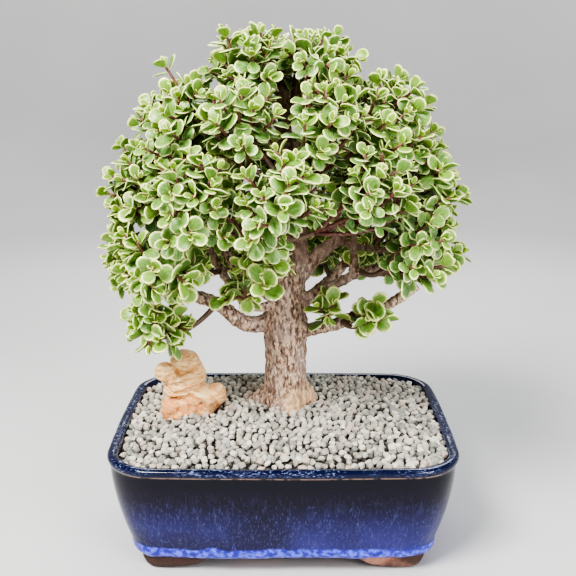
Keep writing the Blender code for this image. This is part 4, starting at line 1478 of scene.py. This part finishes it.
def left_bare(name, at, outward, draw):
    """Whether no shoot grows here: under a pad, or where the bare branches show."""
    if outward.z < DOWNWARD and draw.random() < 0.6:
        return True
    if "_low_" in name:
        return False
    level = at.z + 0.2 * at.y
    in_gap = GAP_X[0] < at.x < GAP_X[1] and GAP_LEVEL[0] < level < GAP_LEVEL[1]
    under_skirt = at.x > RIGHT_SKIRT_X and level < RIGHT_SKIRT_LEVEL and outward.z < 0.3
    return (in_gap and at.y < GAP_FRONT) or under_skirt


print("the branches show between heights", GAP_LEVEL)


# %% Grow the crown
def grow_pad(name, taken, seed):
    """Makes all shoots of one pad as one piece, and counts its stems and leaves."""
    draw = random.Random(seed)
    places = outer_places(name, draw)
    draw.shuffle(places)
    if "_upper_" in name:
        places += shoulder_places(name, draw)
    twig = pad_twig(name)
    stems, copies = [(twig, TWIG_RADII, 0.5)], []

    def add_shoot(root, tip, heading, pairs, size, stem_radius):
        grown, route, radii = grow_shoot(draw, root, tip, heading, pairs, size, stem_radius)
        copies.extend(grown)
        stems.append((route, radii, draw.random()))

    pair_choices = (3, 4) if "_low_" in name or "_hanging_" in name else (4, 5, 6, 8)
    for at, outward in spaced(places, taken):
        if left_bare(name, at, outward, draw):
            continue
        lean = UP * (0.35 if outward.z > -0.4 else 0.05)
        heading = (outward + lean + gauss_vector(draw, 0.22)).normalized()
        size = draw.uniform(0.74, 1.10) + 0.25 * max(0.0, (LOW_CROWN - at.z) / 0.08)
        tip = at - outward * draw.uniform(0.0035, 0.0085) * size
        root = twig[draw.randrange(FIRST_SHOOT_STEP, TWIG_STEPS + 1)]
        pairs = draw.choice(pair_choices)
        add_shoot(root, tip, heading, pairs, size, draw.uniform(0.0010, 0.0016))
    for shares, heading, size, pairs in SPRIGS.get(name, ()):
        low, high = cad_bounds
        tip = Vector([a + share * (b - a) for a, share, b in zip(low, shares, high)])
        root = twig[draw.randrange(FIRST_SHOOT_STEP, TWIG_STEPS + 1)]
        add_shoot(root, tip, Vector(heading).normalized(), pairs, size, SPRIG_STEM)

    leaf_count = len(copies)
    models = list(leaves)
    for route, radii, own in stems:
        points, faces = stem_model(route, radii)
        blank_map = np.zeros((sum(map(len, faces)), 2))
        models.append({"points": np.array(points), "faces": faces, "map": blank_map})
        tone = (own, 0.0 if route is twig else 0.6, own, 1)
        copies.append((len(models) - 1, np.identity(3), (0, 0, 0), tone, 1))
    new_name = name.replace("foliage", "leaves")
    finishes = [leaf_finish, stem_finish]
    piece = join_copies(new_name, models, copies, finishes, smooth=True, map_name="leaf_face")
    finish_piece(piece, "leaf", name)
    return len(stems), leaf_count


taken_places = []
totals = np.zeros(2, int)
for number, name in enumerate(PADS):
    totals += grow_pad(name, taken_places, 500 + number)
print("shoots", totals[0], "leaves", totals[1])

# %% [markdown]
# ## The table and the last lines
# The model stands in a studio sweep, a pale floor that curves up into a wall all
# round, so that no edge or horizon shows from any side. It is a disc whose rim is
# drawn up and whose corner is rounded.

# %% The floor
clear_selection()
bpy.ops.mesh.primitive_circle_add(vertices=128, radius=1.8, fill_type="NGON")
floor = bpy.context.object
floor.name = "floor"
bpy.ops.object.mode_set(mode="EDIT")
bpy.ops.mesh.select_all(action="SELECT")
bpy.ops.mesh.select_mode(type="EDGE")
bpy.ops.mesh.extrude_edges_move(TRANSFORM_OT_translate={"value": (0, 0, 1.1)})
pick_points(floor, lambda at: at.z < 0.001)
bpy.ops.mesh.select_mode(type="EDGE")
bpy.ops.mesh.bevel(offset=0.6, segments=14, affect="EDGES")
bpy.ops.object.mode_set(mode="OBJECT")
bpy.ops.object.shade_smooth()
print("sweep points", len(floor.data.vertices))
give_finish(
    floor,
    two_tone("pale_floor", 0.6, (3.0, 0.3, 0.7, 2.0), (0.60, 0.60, 0.60), (0.63, 0.63, 0.63)),
)
